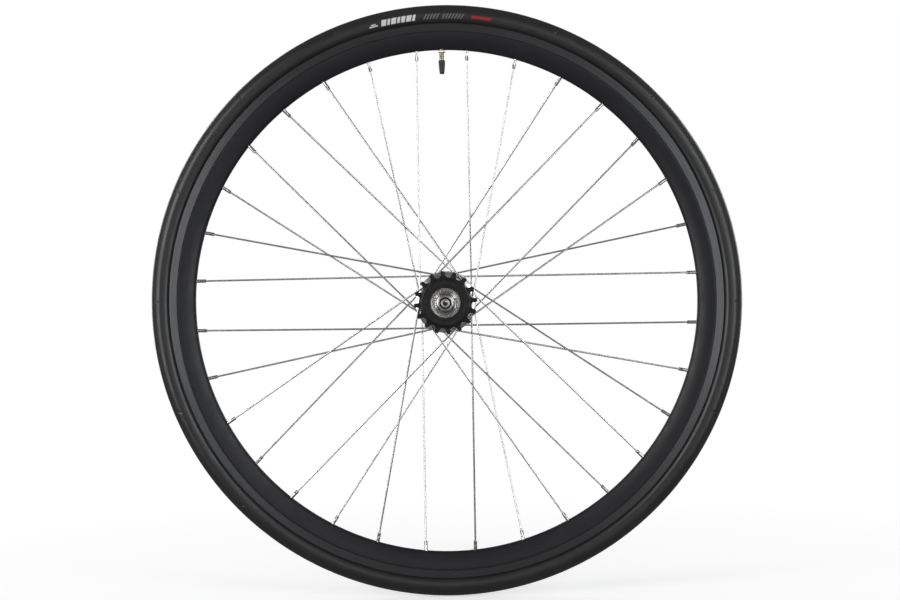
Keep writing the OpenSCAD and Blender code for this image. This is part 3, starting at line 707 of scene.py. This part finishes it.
# (place along the spoke from the seat in the rim, radius, whether the wrench flats reach here)
NIPPLE_ROWS = (
    (-13.5, 1.06, 0), (-13.5, 1.45, 0), (-13.3, 1.7, 1), (-13.0, 1.95, 1), (-12.0, 1.95, 1), (-10.0, 1.95, 1),
    (-8.9, 1.95, 1), (-8.6, 1.95, 0), (-8.3, 1.95, 0), (-6, 1.95, 0), (-3.2, 1.95, 0), (-0.6, 1.97, 0),
    (-0.05, 2.3, 0), (0.1, 2.95, 0), (0.9, 3.0, 0), (1.25, 2.8, 0), (1.55, 2.3, 0), (1.55, 0.9, 0),
    (1.0, 0.9, 0), (1.0, 1.06, 0),
)


def nipple_frame(k):
    """Where a nipple sits and which way it points, out of the wheel."""
    to_wheel, outside = spoke_space(k)
    bow_w = CROSS_MID + (-CROSS_SHIFT if outside else CROSS_SHIFT)
    seat = to_wheel(RUN, 0)
    axis = (seat - to_wheel(CROSS_AT, bow_w)).normalized()
    side = axis.orthogonal().normalized()
    return seat, axis, side, axis.cross(side)


def add_nipple(bm, k, sides=32):
    seat, axis, side, up = nipple_frame(k)
    roll = math.radians(random.uniform(-8, 8))
    columns = []
    for s in range(sides):
        a = 2 * math.pi * s / sides
        direction = side * math.cos(a) + up * math.sin(a)
        flat = NIPPLE_FLATS / max(abs(math.cos(a + roll)), abs(math.sin(a + roll)))
        column = []
        for z, r, flats in NIPPLE_ROWS:
            if flats:
                r = min(r, flat)
            column.append(bm.verts.new(seat + (axis * z + direction * r) * MM))
        columns.append(column)
    grid_faces(bm, columns, True)


def build_nipples():
    random.seed(SEED)
    for side, side_name in ((1, "drive"), (-1, "non_drive")):
        bm = bmesh.new()
        for k in range(SPOKES):
            if lace(k)[0] == side:
                add_nipple(bm, k)
        piece = finish_mesh(f"{side_name}_nipple_set", bm)
        put(piece, "wheel", "nipple_brass", f"{side_name}_nipples", materials=[NIPPLE])


# ------------------------------------------------------------------ rim

RIM_EDGE = 314.3
TRACK_FROM = 305.8
TRACK_W = 10.5
NIPPLE_HOLE_R = 2.15
VALVE_HOLE_R = 3.3
# from the nose out along the curved wall, over the groove and the brake track to the bead seat and the well
RIM_HALF = [
    (285.0, 0.0), (285.1, 1.0), (285.42, 2.0), (285.95, 2.9), (286.7, 3.7), (287.65, 4.4), (288.8, 5.05),
    (290.2, 5.75), (292.0, 6.6), (294.0, 7.42), (296.0, 8.12), (298.0, 8.7), (300.0, 9.18), (302.0, 9.58),
    (303.6, 9.85), (304.3, 9.96), (304.5, 9.9), (304.6, 9.62), (304.75, 9.55), (305.5, 9.55), (305.7, 9.65),
    (305.78, 9.9), (TRACK_FROM, 10.38), (305.9, TRACK_W), (308, TRACK_W), (310, TRACK_W), (312, TRACK_W),
    (313.8, TRACK_W), (314.1, 10.42), (314.27, 10.2), (RIM_EDGE, 9.9), (RIM_EDGE, 9.1), (314.2, 8.8), (313.95, 8.6),
    (313.6, 8.5), (311.2, 8.5), (311.0, 8.3), (311.0, 6.3), (310.8, 6.05), (308.5, 5.5), (308.3, 5.2), (308.3, 0.0),
]


def build_rim():
    section = both_sides(RIM_HALF)
    count = len(section)

    def is_track(i):
        p, q = section[i], section[(i + 1) % count]
        on = all(TRACK_FROM < r < RIM_EDGE and abs(w) > TRACK_W - 0.1 for r, w in (p, q))
        return 1 if on else 0

    piece = lathe("rim_deep", section, 720, material=is_track)
    # keeps which face is which finish through the cut
    piece.data.materials.append(RIM)
    piece.data.materials.append(TRACK)
    cutters = []
    for k in range(SPOKES):
        seat, axis, _, _ = nipple_frame(k)
        cutters.append(tube_between("hole", seat - axis * 9 * MM, seat + axis * 30 * MM, NIPPLE_HOLE_R * MM))
    cutters.append(tube_between("hole", place(280, 0, 0), place(320, 0, 0), VALVE_HOLE_R * MM, 32))
    cut(piece, cutters)
    put(piece, "wheel", "rim_aluminium", "rim")


# ------------------------------------------------------------------ hub

BARREL_R = 12.5
FLARE = 16.0
FLANGE_R = 34.0
BOSS_R = 17.4
BOSS_END = 47.5
DUST_CAP_SEAT_R = 15.0
CUP_SEAT = 37.6
HUB_BORE = 9.5
HUB_HOLE_R = 1.25


def hub_profile():
    half = [(BARREL_R, 0.0, 0), (BARREL_R, 14.0, 4)]
    for a in (8, 20, 34, 48, 62, 74, 84):
        t = math.radians(a)
        half.append((BARREL_R + FLARE * (1 - math.cos(t)), FLANGE_IN - FLARE + FLARE * math.sin(t), 0))
    half += [(28.6, FLANGE_IN, 0.3), (FLANGE_R, FLANGE_IN, 0.3), (FLANGE_R, 33.9, 0.5), (30.3, FLANGE_OUT, 0.6),
             (21.5, FLANGE_OUT, 0.4)]
    return half


def build_hub():
    half = hub_profile()
    inside = [(DUST_CAP_SEAT_R, BOSS_END, 0.15), (DUST_CAP_SEAT_R, CUP_SEAT, 0), (HUB_BORE, CUP_SEAT, 0.2)]
    # the freewheel screws onto the drive side's boss, up to a shoulder
    drive = half + [(19.0, FLANGE_OUT, 0.1), (19.0, 37.0, 0.2), (BOSS_R, 37.0, 0.1), (BOSS_R, BOSS_END, 0.3)] + inside
    # the other side's boss is bare, with a fillet at its foot and a groove near its end
    other = half + [(20.4, 35.9, 0.6), (17.9, 37.6, 0.8), (BOSS_R, 39.6, 0.5), (BOSS_R, 44.9, 0.2), (17.0, 45.2, 0.1),
                    (17.0, 45.9, 0.1), (BOSS_R, 46.2, 0.1), (BOSS_R, BOSS_END, 0.4)] + inside
    section = [tuple(p) for p in drive] + [(p[0], -p[1], p[2]) for p in reversed(other) if p[1] != 0]
    piece = lathe("hub_shell_turned", rounded(section, 0.2), 192)
    cutters = []
    for k in range(SPOKES):
        side, _, hole_turn, _ = lace(k)
        near, far = (place(HOLE_R, hole_turn, side * w) for w in (FLANGE_IN - 1.4, FLANGE_OUT + 1.4))
        cutters.append(tube_between("hole", near, far, HUB_HOLE_R * MM, 20))
    cut(piece, cutters)
    put(piece, "wheel", "hub_aluminium", "hub_barrel", "drive_hub_flange", "non_drive_hub_flange", materials=[HUB])


def on_side(profile, side):
    return [(p[0], side * p[1], *p[2:]) for p in profile]


CONE_FLATS_FROM = 48.3
CONE_FLATS_HALF = 7.5
NUT_HALF = 8.5
NUT_RECESS_R = 7.4
NUT_RECESS_ROW = 13
WASHER_TEETH = 40


def build_bearing_side(side, name):
    cap = rounded(on_side([
        (14.97, 45.65, 0.05), (14.97, 47.4, 0.2), (14.6, 47.8, 0.2), (14.0, 47.8, 0.25), (12.4, 47.12, 0.4),
        (10.9, 46.48, 0.1), (10.7, 46.35, 0.05), (10.7, 45.85, 0.1), (12.0, 46.2, 0.3), (13.5, 46.9, 0.3),
        (13.9, 46.6, 0.2), (13.9, 45.65, 0.05)
    ], side), 0.1)
    put(lathe(f"{name}_dust_cap_pressed", cap, 144), "wheel", "dust_cap_steel", f"{name}_dust_cap",
        materials=[DUST_CAP])

    def flats(turn, r, w):
        if abs(w) < CONE_FLATS_FROM:
            return r, w
        c = abs(math.sin(math.radians(turn)))
        return (min(r, CONE_FLATS_HALF / c) if c > 1e-6 else r), w

    cone = [(5.03, 39.2, 0), (6.9, 39.2, 0.1), (7.0, 40.6, 0.2), (7.25, 41.6, 0), (7.9, 42.9, 0.5),
            (8.7, 44.0, 0.5), (9.2, 45.2, 0.3), (10.3, 45.4, 0.2), (10.3, 47.0, 0.25), (9.6, 47.35, 0.2),
            (8.6, 47.9, 0.3), (8.6, 48.2, 0), (8.6, 48.4, 0), (8.6, 51.2, 0.1), (8.35, 51.49, 0.1), (5.03, 51.49, 0)]
    put(lathe(f"{name}_cone_ground", rounded(on_side(cone, side), 0.1), 120, flats), "axle_set", "cone_steel",
        f"{name}_cone", materials=[CONE])

    def teeth(turn, r, w):
        return (fluted(r, turn, WASHER_TEETH, 0.16) if r > 8.2 else r), w

    washer = [(5.03, 51.52, 0), (8.75, 51.52, 0.12), (8.75, 52.86, 0.12), (5.03, 52.86, 0)]
    put(lathe(f"{name}_lock_washer_serrated", rounded(on_side(washer, side), 0.1), 480, teeth), "axle_set",
        "zinc_steel", f"{name}_lock_washer", materials=[ZINC])
    spacer = [(5.03, 52.92, 0.05), (7.95, 52.92, 0.15), (7.95, 54.46, 0.15), (5.03, 54.46, 0.05)]
    put(lathe(f"{name}_spacer_turned", rounded(on_side(spacer, side), 0.1), 96), "axle_set", "zinc_steel",
        f"{name}_spacer", materials=[ZINC])

    def hexagon(turn, r, w):
        if r < NUT_RECESS_R:
            return r, w
        flat = NUT_HALF / math.cos(math.radians((turn + 30) % 60 - 30))
        return min(r, flat), w

    # the outer rows follow the hexagon up to where the front chamfer turns the corners off, and the
    # recess in the face starts at NUT_RECESS_ROW; the recess faces take a near-black finish, painted shade in the
    # recess
    nut = [(5.05, 54.52), (8.1, 54.52), (9.0, 54.75), (9.82, 55.1), (9.82, 58.2), (9.82, 58.95), (9.5, 59.2),
           (9.0, 59.5), (8.6, 59.78), (8.3, 59.95), (8.05, 60.0), (6.7, 60.0), (6.5, 59.9), (6.45, 59.6),
           (6.35, 58.8), (6.1, 58.6), (5.4, 58.5), (5.05, 58.4)]
    piece = lathe(f"{name}_locknut_hex", on_side(nut, side), 180, hexagon,
                  lambda i: int(i >= NUT_RECESS_ROW), math.radians(24))
    put(piece, "axle_set", "nut_steel", f"{name}_locknut")
    # the second finish darkens the face recess as painted shade
    for finish in (NUT, RECESS_SHADE):
        piece.data.materials.append(finish)


AXLE_R = 5.0
AXLE_BORE_R = 2.6
THREAD_PITCH = 1.0
THREAD_DEPTH = 0.52
THREAD_FROM = 59.2
THREAD_TO = 65.05


def build_axle():
    """Only the ends that stand out of the locknuts carry a drawn thread."""
    rows = []
    w = 59.3
    while w < THREAD_TO:
        rows.append((AXLE_R, w))
        w += THREAD_PITCH / 8
    end = [(4.85, 65.12), (4.6, 65.35), (4.35, 65.46), (4.2, 65.5), (2.95, 65.5), (2.7, 65.4)]
    section = both_sides([(AXLE_R, w) for w in (0.0, 30.0, 58.9)] + rows + end
                         + [(AXLE_BORE_R, w) for w in (65.2, 60.0, 30.0, 0.0)])

    def thread(turn, r, w):
        if r < AXLE_R - 0.01 or abs(w) < THREAD_FROM:
            return r, w
        phase = (w / THREAD_PITCH - turn / 360) % 1.0
        ridge = abs(phase - 0.5) * 2
        depth = THREAD_DEPTH * min(1.0, max(0.0, (ridge - 0.08) / 0.84))
        fade = min(1.0, (THREAD_TO - abs(w)) / 0.5, (abs(w) - THREAD_FROM) / 0.3)
        return r - depth * max(0.0, fade), w

    put(lathe("axle_threaded", section, 72, thread, sharp=math.radians(60)), "axle_set", "axle_steel", "axle",
        materials=[AXLE])


# ------------------------------------------------------------------ freewheel

TEETH = 16
TOOTH_STEP = 360 / TEETH
CHAIN_PITCH = 12.7
PITCH_R = CHAIN_PITCH / 2 / math.sin(math.pi / TEETH)
TIP_R = PITCH_R + 2.9
ROLLER = 7.95 / 2
TOOTH_PHASE = -4.5
CHAIN_LINE = 43.5
TOOTH_HALF = 1.45
TIP_HALF = 0.35
TOOTH_THINS_R = PITCH_R + 0.6
RING_R = 28.2
LAND_R = 24.3
RATCHET = 24
RATCHET_TIP = 21.8
RATCHET_ROOT = 23.4
RATCHET_PHASE = 3.6


def tooth_edge(off):
    """Outer radius of the toothed ring at an angle from the middle of a gap, in degrees."""
    a = math.radians(abs(off))
    s = PITCH_R * math.sin(a)
    if s < ROLLER and PITCH_R * math.cos(a) - math.sqrt(ROLLER**2 - s**2) < PITCH_R * 0.99:
        return PITCH_R * math.cos(a) - math.sqrt(ROLLER**2 - s**2)
    flank = ((PITCH_R, ROLLER - 0.03), (PITCH_R + 1.7, ROLLER + 0.7), (TIP_R + 0.3, ROLLER + 2.3))
    for (r1, h1), (r2, h2) in zip(flank, flank[1:]):
        a1, a2 = math.atan2(h1, r1), math.atan2(h2, r2)
        if a <= a2:
            t = (a - a1) / (a2 - a1)
            return min(TIP_R, max(PITCH_R, math.hypot(r1 + (r2 - r1) * t, h1 + (h2 - h1) * t)))
    return TIP_R


def tooth_thickness(r):
    """Half the tooth's thickness at a radius: it thins towards the tip, to let the chain find it."""
    if r <= TOOTH_THINS_R:
        return TOOTH_HALF
    return TOOTH_HALF - (r - TOOTH_THINS_R) * (TOOTH_HALF - TIP_HALF) / 3.3


def ratchet_edge(turn):
    """Inner radius of the ring at a turn: saw teeth, steep on one side."""
    # the CAD's angles run anticlockwise from the right, turns run clockwise from the top
    step = 360 / RATCHET
    t = (90 - turn - RATCHET_PHASE) % step
    rise = RATCHET_ROOT - RATCHET_TIP
    if t < 1:
        return RATCHET_TIP
    if t < step - 0.4:
        return RATCHET_TIP + rise * (t - 1) / (step - 1.4)
    return RATCHET_ROOT - rise * (t - step + 0.4) / 0.4


def build_sprocket():
    bm = bmesh.new()
    columns = []
    face = CHAIN_LINE - TOOTH_HALF
    back = CHAIN_LINE + TOOTH_HALF
    for turn in even_turns(1152):
        off = (turn - TOOTH_PHASE + TOOTH_STEP / 2) % TOOTH_STEP
        off = off if off < TOOTH_STEP / 2 else off - TOOTH_STEP
        edge = tooth_edge(off)
        full = min(edge, TOOTH_THINS_R)
        half = tooth_thickness(edge)
        inner = ratchet_edge(turn)
        rows = [
            (LAND_R, 38.1), (27.1, 38.1), (27.75, 38.3), (28.08, 38.75), (RING_R, 39.3), (RING_R, 42.0),
            (28.32, face), (full - 0.08, face), (full, CHAIN_LINE - min(half, TOOTH_HALF) + 0.06),
            (edge - 0.06, CHAIN_LINE - half + 0.08), (edge, CHAIN_LINE - half + 0.2), (edge, CHAIN_LINE),
            (edge, CHAIN_LINE + half - 0.2), (edge - 0.06, CHAIN_LINE + half - 0.08),
            (full, CHAIN_LINE + min(half, TOOTH_HALF) - 0.06), (full - 0.08, back), (28.32, back),
            (RING_R, 45.05), (RING_R, 48.6), (28.12, 48.8), (28.12, 49.3), (RING_R, 49.5), (RING_R, 50.0),
            (28.12, 50.35), (27.85, 50.85), (27.35, 51.33), (26.75, 51.68), (26.25, 51.92), (25.95, 51.98),
            (25.8, 51.85), (25.8, 50.6), (LAND_R, 50.6), (LAND_R, 47.0), (inner, 47.0), (inner, 42.2),
            (LAND_R, 42.2)
        ]
        columns.append([bm.verts.new(place(r, turn, w)) for r, w in rows])
    grid_faces(bm, columns, True)
    piece = finish_mesh("sprocket_16t", bm, math.radians(28))
    put(piece, "freewheel_ring", "freewheel_black", "freewheel_sprocket", materials=[BLACK])


def build_freewheel_body():
    def notches(turn, r, w):
        if r > 18 or w < 48.8:
            return r, w
        off = (turn + 15) % 30 - 15
        return (r + 0.62 if abs(off) < 3.1 else r), w

    body = [(17.43, 37.05, 0), (24.0, 37.05, 0.2), (24.0, 38.6, 0.1), (22.9, 38.9, 0.2), (22.9, 42.0, 0.1),
            (21.2, 42.0, 0), (21.2, 46.8, 0), (19.47, 46.8, 0), (19.47, 52.1, 0.1), (19.25, 52.3, 0.1),
            (18.4, 52.3, 0), (17.7, 52.3, 0), (17.35, 52.2, 0), (16.9, 51.85, 0), (16.8, 51.6, 0), (16.8, 48.9, 0),
            (16.8, 48.7, 0), (16.8, 48.1, 0), (17.43, 48.1, 0)]
    turns = sorted(set([1.5 * j for j in range(240)]
                       + [(30 * k + s) % 360 for k in range(12) for s in (-3.2, -3.0, 3.0, 3.2)]))
    piece = lathe("freewheel_inner_turned", rounded(body, 0.1), turns, notches)
    cutters = []
    for turn in (114, 294):
        cutters.append(tube_between("pocket", place(21.6, turn, 42.2), place(21.6, turn, 46.75), 1.7 * MM, 16))
    cut(piece, cutters)
    put(piece, "wheel", "freewheel_black", "freewheel_inner_body", materials=[BLACK])
    ring = [(19.53, 47.45, 0), (22.9, 47.45, 0.1), (22.9, 50.75, 0.1), (25.6, 50.85, 0.1), (25.6, 51.9, 0.3),
            (25.2, 52.3, 0.3), (24.9, 52.3, 0), (24.75, 52.18, 0), (24.55, 52.18, 0), (24.4, 52.3, 0),
            (20.6, 52.3, 0), (20.45, 52.16, 0), (20.2, 52.16, 0), (20.05, 52.3, 0), (19.53, 52.3, 0.15)]
    piece = lathe("freewheel_lockring_turned", rounded(ring, 0.1), 240)
    cutters = [tube_between("pin", place(22.4, turn, 51.3), place(22.4, turn, 53), 1.1 * MM, 28) for turn in (45, 225)]
    cut(piece, cutters)
    put(piece, "wheel", "freewheel_black", "freewheel_lockring", materials=[BLACK])


# ------------------------------------------------------------------ valve


def place_upright(r, turn, z):
    """A point round the valve's line, in metres, from a radius, a turn and a height in millimetres."""
    a = math.radians(turn)
    return Vector((r * math.cos(a), r * math.sin(a), z)) * MM


def upright(name, profile, sides, shape=None, sharp=SHARP):
    return sweep(name, profile, even_turns(sides), place_upright, shape, sharp=sharp)


CAP_TOP = 273.6
STEM_R = 3.0
STEM_PITCH = 0.8
STEM_THREAD_TO = 286.6


def build_valve():
    rows = [(1.3, 268.02), (2.3, 268.0), (2.55, 268.25), (2.6, 268.6), (2.6, CAP_TOP - 0.3), (2.9, CAP_TOP + 0.2)]
    z = CAP_TOP + 0.4
    while z < 286.5:
        rows.append((STEM_R, z))
        z += STEM_PITCH / 8
    rows += [(STEM_R, 287.0), (STEM_R, 300.0), (STEM_R, 314.3), (2.6, 314.4), (1.3, 314.4)]

    def thread(turn, r, z):
        if r < STEM_R - 0.01 or z > STEM_THREAD_TO:
            return r, z
        phase = (z / STEM_PITCH + turn / 360) % 1.0
        return r - 0.22 * (1 - abs(phase - 0.5) * 2) * min(1.0, (z - CAP_TOP - 0.3) / 0.6), z

    put(upright("valve_stem_threaded", rows, 56, thread, math.radians(60)), "wheel", "valve_brass", "valve_stem",
        materials=[BRASS])

    def knurl(turn, r, z):
        return (fluted(r, turn, 28, 0.22) if r > 4.1 else r), z

    ring = rounded([(3.04, 282.0, 0.1), (3.9, 282.0, 0.2), (4.33, 282.5, 0.15), (4.33, 284.5, 0.15),
                    (3.95, 284.95, 0.2), (3.04, 284.95, 0.1)], 0.1)
    put(upright("valve_lock_ring_knurled", ring, 336, knurl), "wheel", "ring_aluminium", "valve_lock_ring",
        materials=[RING])

    def ribs(turn, r, z):
        if r < 2.9 or z > CAP_TOP - 1.2 or z < 259.5:
            return r, z
        return fluted(r, turn, 24, 0.13), z

    low = CAP_TOP - 15.6
    cap = [(0, low), (1.2, low), (1.75, low + 0.06), (2.1, low + 0.22), (2.38, low + 0.5), (2.6, low + 0.9),
           (2.78, low + 1.5), (2.98, low + 3), (3.2, low + 5.5), (3.42, low + 8), (3.62, low + 10.5),
           (3.76, CAP_TOP - 3.2), (3.8, CAP_TOP - 2.4), (3.8, CAP_TOP - 1.4), (3.8, CAP_TOP - 0.5),
           (3.7, CAP_TOP - 0.15), (3.45, CAP_TOP), (2.85, CAP_TOP), (2.68, CAP_TOP - 0.2), (2.68, CAP_TOP - 7),
           (2.1, CAP_TOP - 8), (2.1, low + 1.7), (1.6, low + 1.6), (0, low + 1.6)]
    put(upright("valve_cap_moulded", cap, 192, ribs), "valve_cap_body", "cap_plastic", "valve_cap", materials=[CAP])

    def fine(turn, r, z):
        return (fluted(r, turn, 16, 0.1) if r > 1.8 else r), z

    nut = rounded([(0.94, 265.4, 0), (1.6, 265.4, 0.15), (1.9, 265.7, 0.1), (1.9, 267.6, 0.1), (1.6, 267.93, 0.15),
                   (0.94, 267.93, 0)], 0.1)
    put(upright("valve_nut_knurled", nut, 128, fine), "valve_nut_body", "valve_brass", "valve_nut", materials=[BRASS])


# ------------------------------------------------------------------ the rest of the CAD nodes

KEPT = {
    "drive_balls": BALL, "non_drive_balls": BALL, "drive_cup": CUP, "non_drive_cup": CUP,
    "rim_tape": TAPE, "inner_tube": TUBE, "valve_core_pin": BRASS,
    "freewheel_shim": SHIM, "freewheel_front_balls": BALL, "freewheel_rear_balls": BALL,
    "pawl_a": PAWL, "pawl_b": PAWL, "pawl_spring_a": HAIR_SPRING, "pawl_spring_b": HAIR_SPRING,
}


def dress_kept_nodes():
    for name, material in KEPT.items():
        node = nodes[name]
        node.data.materials.clear()
        node.data.materials.append(material)
        node.data.shade_smooth()
        node.data.set_sharp_from_angle(angle=math.radians(30))


# ------------------------------------------------------------------ stage

# in metres
WHEEL_BOTTOM = -TYRE_R * MM
FLOOR_GLOW = 0.55
FLOOR_R = 9.0
SHADOW_R = 0.9


def build_stage():
    """A white floor that keeps a soft shadow round the wheel and runs out into a white backdrop."""
    bm = bmesh.new()
    bmesh.ops.create_circle(bm, cap_ends=True, segments=96, radius=FLOOR_R)
    floor = finish_mesh("floor", bm)
    floor.location = (0, 0, WHEEL_BOTTOM - 0.0003)
    f = Finish("floor_white", Roughness=0.9, Specular_IOR_Level=0.0)
    reach = f.add("ShaderNodeVectorMath", operation="LENGTH")
    f.link(f.object_space, reach.inputs[0])
    fade = f.spread(reach.outputs["Value"], 0.0, 1.0, 0.25 * SHADOW_R, SHADOW_R)
    f.link(f.spread(fade, 0.8, 0.0, 0.0, 1.0), f.shader.inputs["Base Color"])
    f.link(f.spread(fade, FLOOR_GLOW, 1.0, 0.0, 1.0), f.shader.inputs["Emission Strength"])
    f.shader.inputs["Emission Color"].default_value = (1, 1, 1, 1)
    floor.data.materials.append(f.material)
    bm = bmesh.new()
    bmesh.ops.create_uvsphere(bm, u_segments=64, v_segments=32, radius=1.05 * FLOOR_R)
    backdrop = finish_mesh("backdrop", bm)
    b = Finish("backdrop_white", Roughness=0.9, Specular_IOR_Level=0.0, Emission_Strength=1.0)
    b.shader.inputs["Base Color"].default_value = (0, 0, 0, 1)
    b.shader.inputs["Emission Color"].default_value = (1, 1, 1, 1)
    backdrop.data.materials.append(b.material)
    for thing in (floor, backdrop):
        thing.visible_glossy = False
        thing.visible_diffuse = False
    backdrop.visible_shadow = False


def add_softbox(name, turn, lift, distance, width, height, radiance, colour=(1, 1, 1)):
    """A soft light round the wheel: turn is its angle right of the camera side, lift its angle up."""
    light = bpy.data.lights.new(name, "AREA")
    light.shape = "RECTANGLE"
    light.size, light.size_y = width, height
    light.energy = radiance * math.pi * width * height
    light.color = colour
    lamp = bpy.data.objects.new(name, light)
    t, l = math.radians(turn), math.radians(lift)
    at = Vector((math.sin(t) * math.cos(l), -math.cos(t) * math.cos(l), math.sin(l))) * distance
    lamp.location = at
    lamp.rotation_euler = (-at).to_track_quat("-Z", "Y").to_euler()
    bpy.context.scene.collection.objects.link(lamp)


def build_light():
    add_softbox("left_box", -50, 8, 3.2, 1.1, 2.6, 6.0)
    add_softbox("right_box", 42, 8, 3.2, 0.8, 2.6, 6.0, (0.94, 0.96, 1.0))
    add_softbox("front_left", -14, 5, 3.6, 0.5, 0.9, 0.8)
    add_softbox("front_right", 13, 6, 3.6, 0.9, 1.3, 2.3)
    # these only light the far side, which a turned view shows
    add_softbox("back_left", -140, 12, 3.4, 1.0, 2.2, 4.0)
    add_softbox("back_right", 135, 12, 3.4, 1.0, 2.2, 4.0)
    add_softbox("back_fill", 162, 14, 3.6, 1.2, 1.4, 1.5)
    world = bpy.data.worlds.new("studio")
    bpy.context.scene.world = world
    world.use_nodes = True
    background = world.node_tree.nodes["Background"]
    background.inputs["Color"].default_value = (1, 1, 1, 1)
    background.inputs["Strength"].default_value = 0.17


# ------------------------------------------------------------------ camera

DISTANCE = 2.2
AZIMUTH = 1.0
ELEVATION = 1.75
ROLL = 1.05
LENS = 77.35
# how far the image's middle lies right of and above the wheel's centre, in the wheel's plane
AIM_RIGHT = 0.0043
AIM_UP = 0.0017


def build_camera():
    data = bpy.data.cameras.new("camera")
    data.lens = LENS
    data.sensor_width = 36
    camera = bpy.data.objects.new("camera", data)
    az, el = math.radians(AZIMUTH), math.radians(ELEVATION)
    at = Vector((math.sin(az) * math.cos(el), -math.cos(az) * math.cos(el), math.sin(el))) * DISTANCE
    turn = (-at).to_track_quat("-Z", "Y").to_matrix()
    target = turn @ Vector((AIM_RIGHT, AIM_UP, 0))
    turn = (target - at).to_track_quat("-Z", "Y").to_matrix().to_4x4()
    camera.matrix_world = Matrix.Translation(at) @ turn @ Matrix.Rotation(math.radians(-ROLL), 4, "Z")
    bpy.context.scene.collection.objects.link(camera)
    bpy.context.scene.camera = camera


build_camera()
build_tyre()
build_label()
build_spokes()
build_nipples()
build_rim()
build_hub()
build_bearing_side(1, "drive")
build_bearing_side(-1, "non_drive")
build_axle()
build_sprocket()
build_freewheel_body()
build_valve()
dress_kept_nodes()
build_stage()
build_light()
bpy.context.scene.view_settings.view_transform = "Standard"
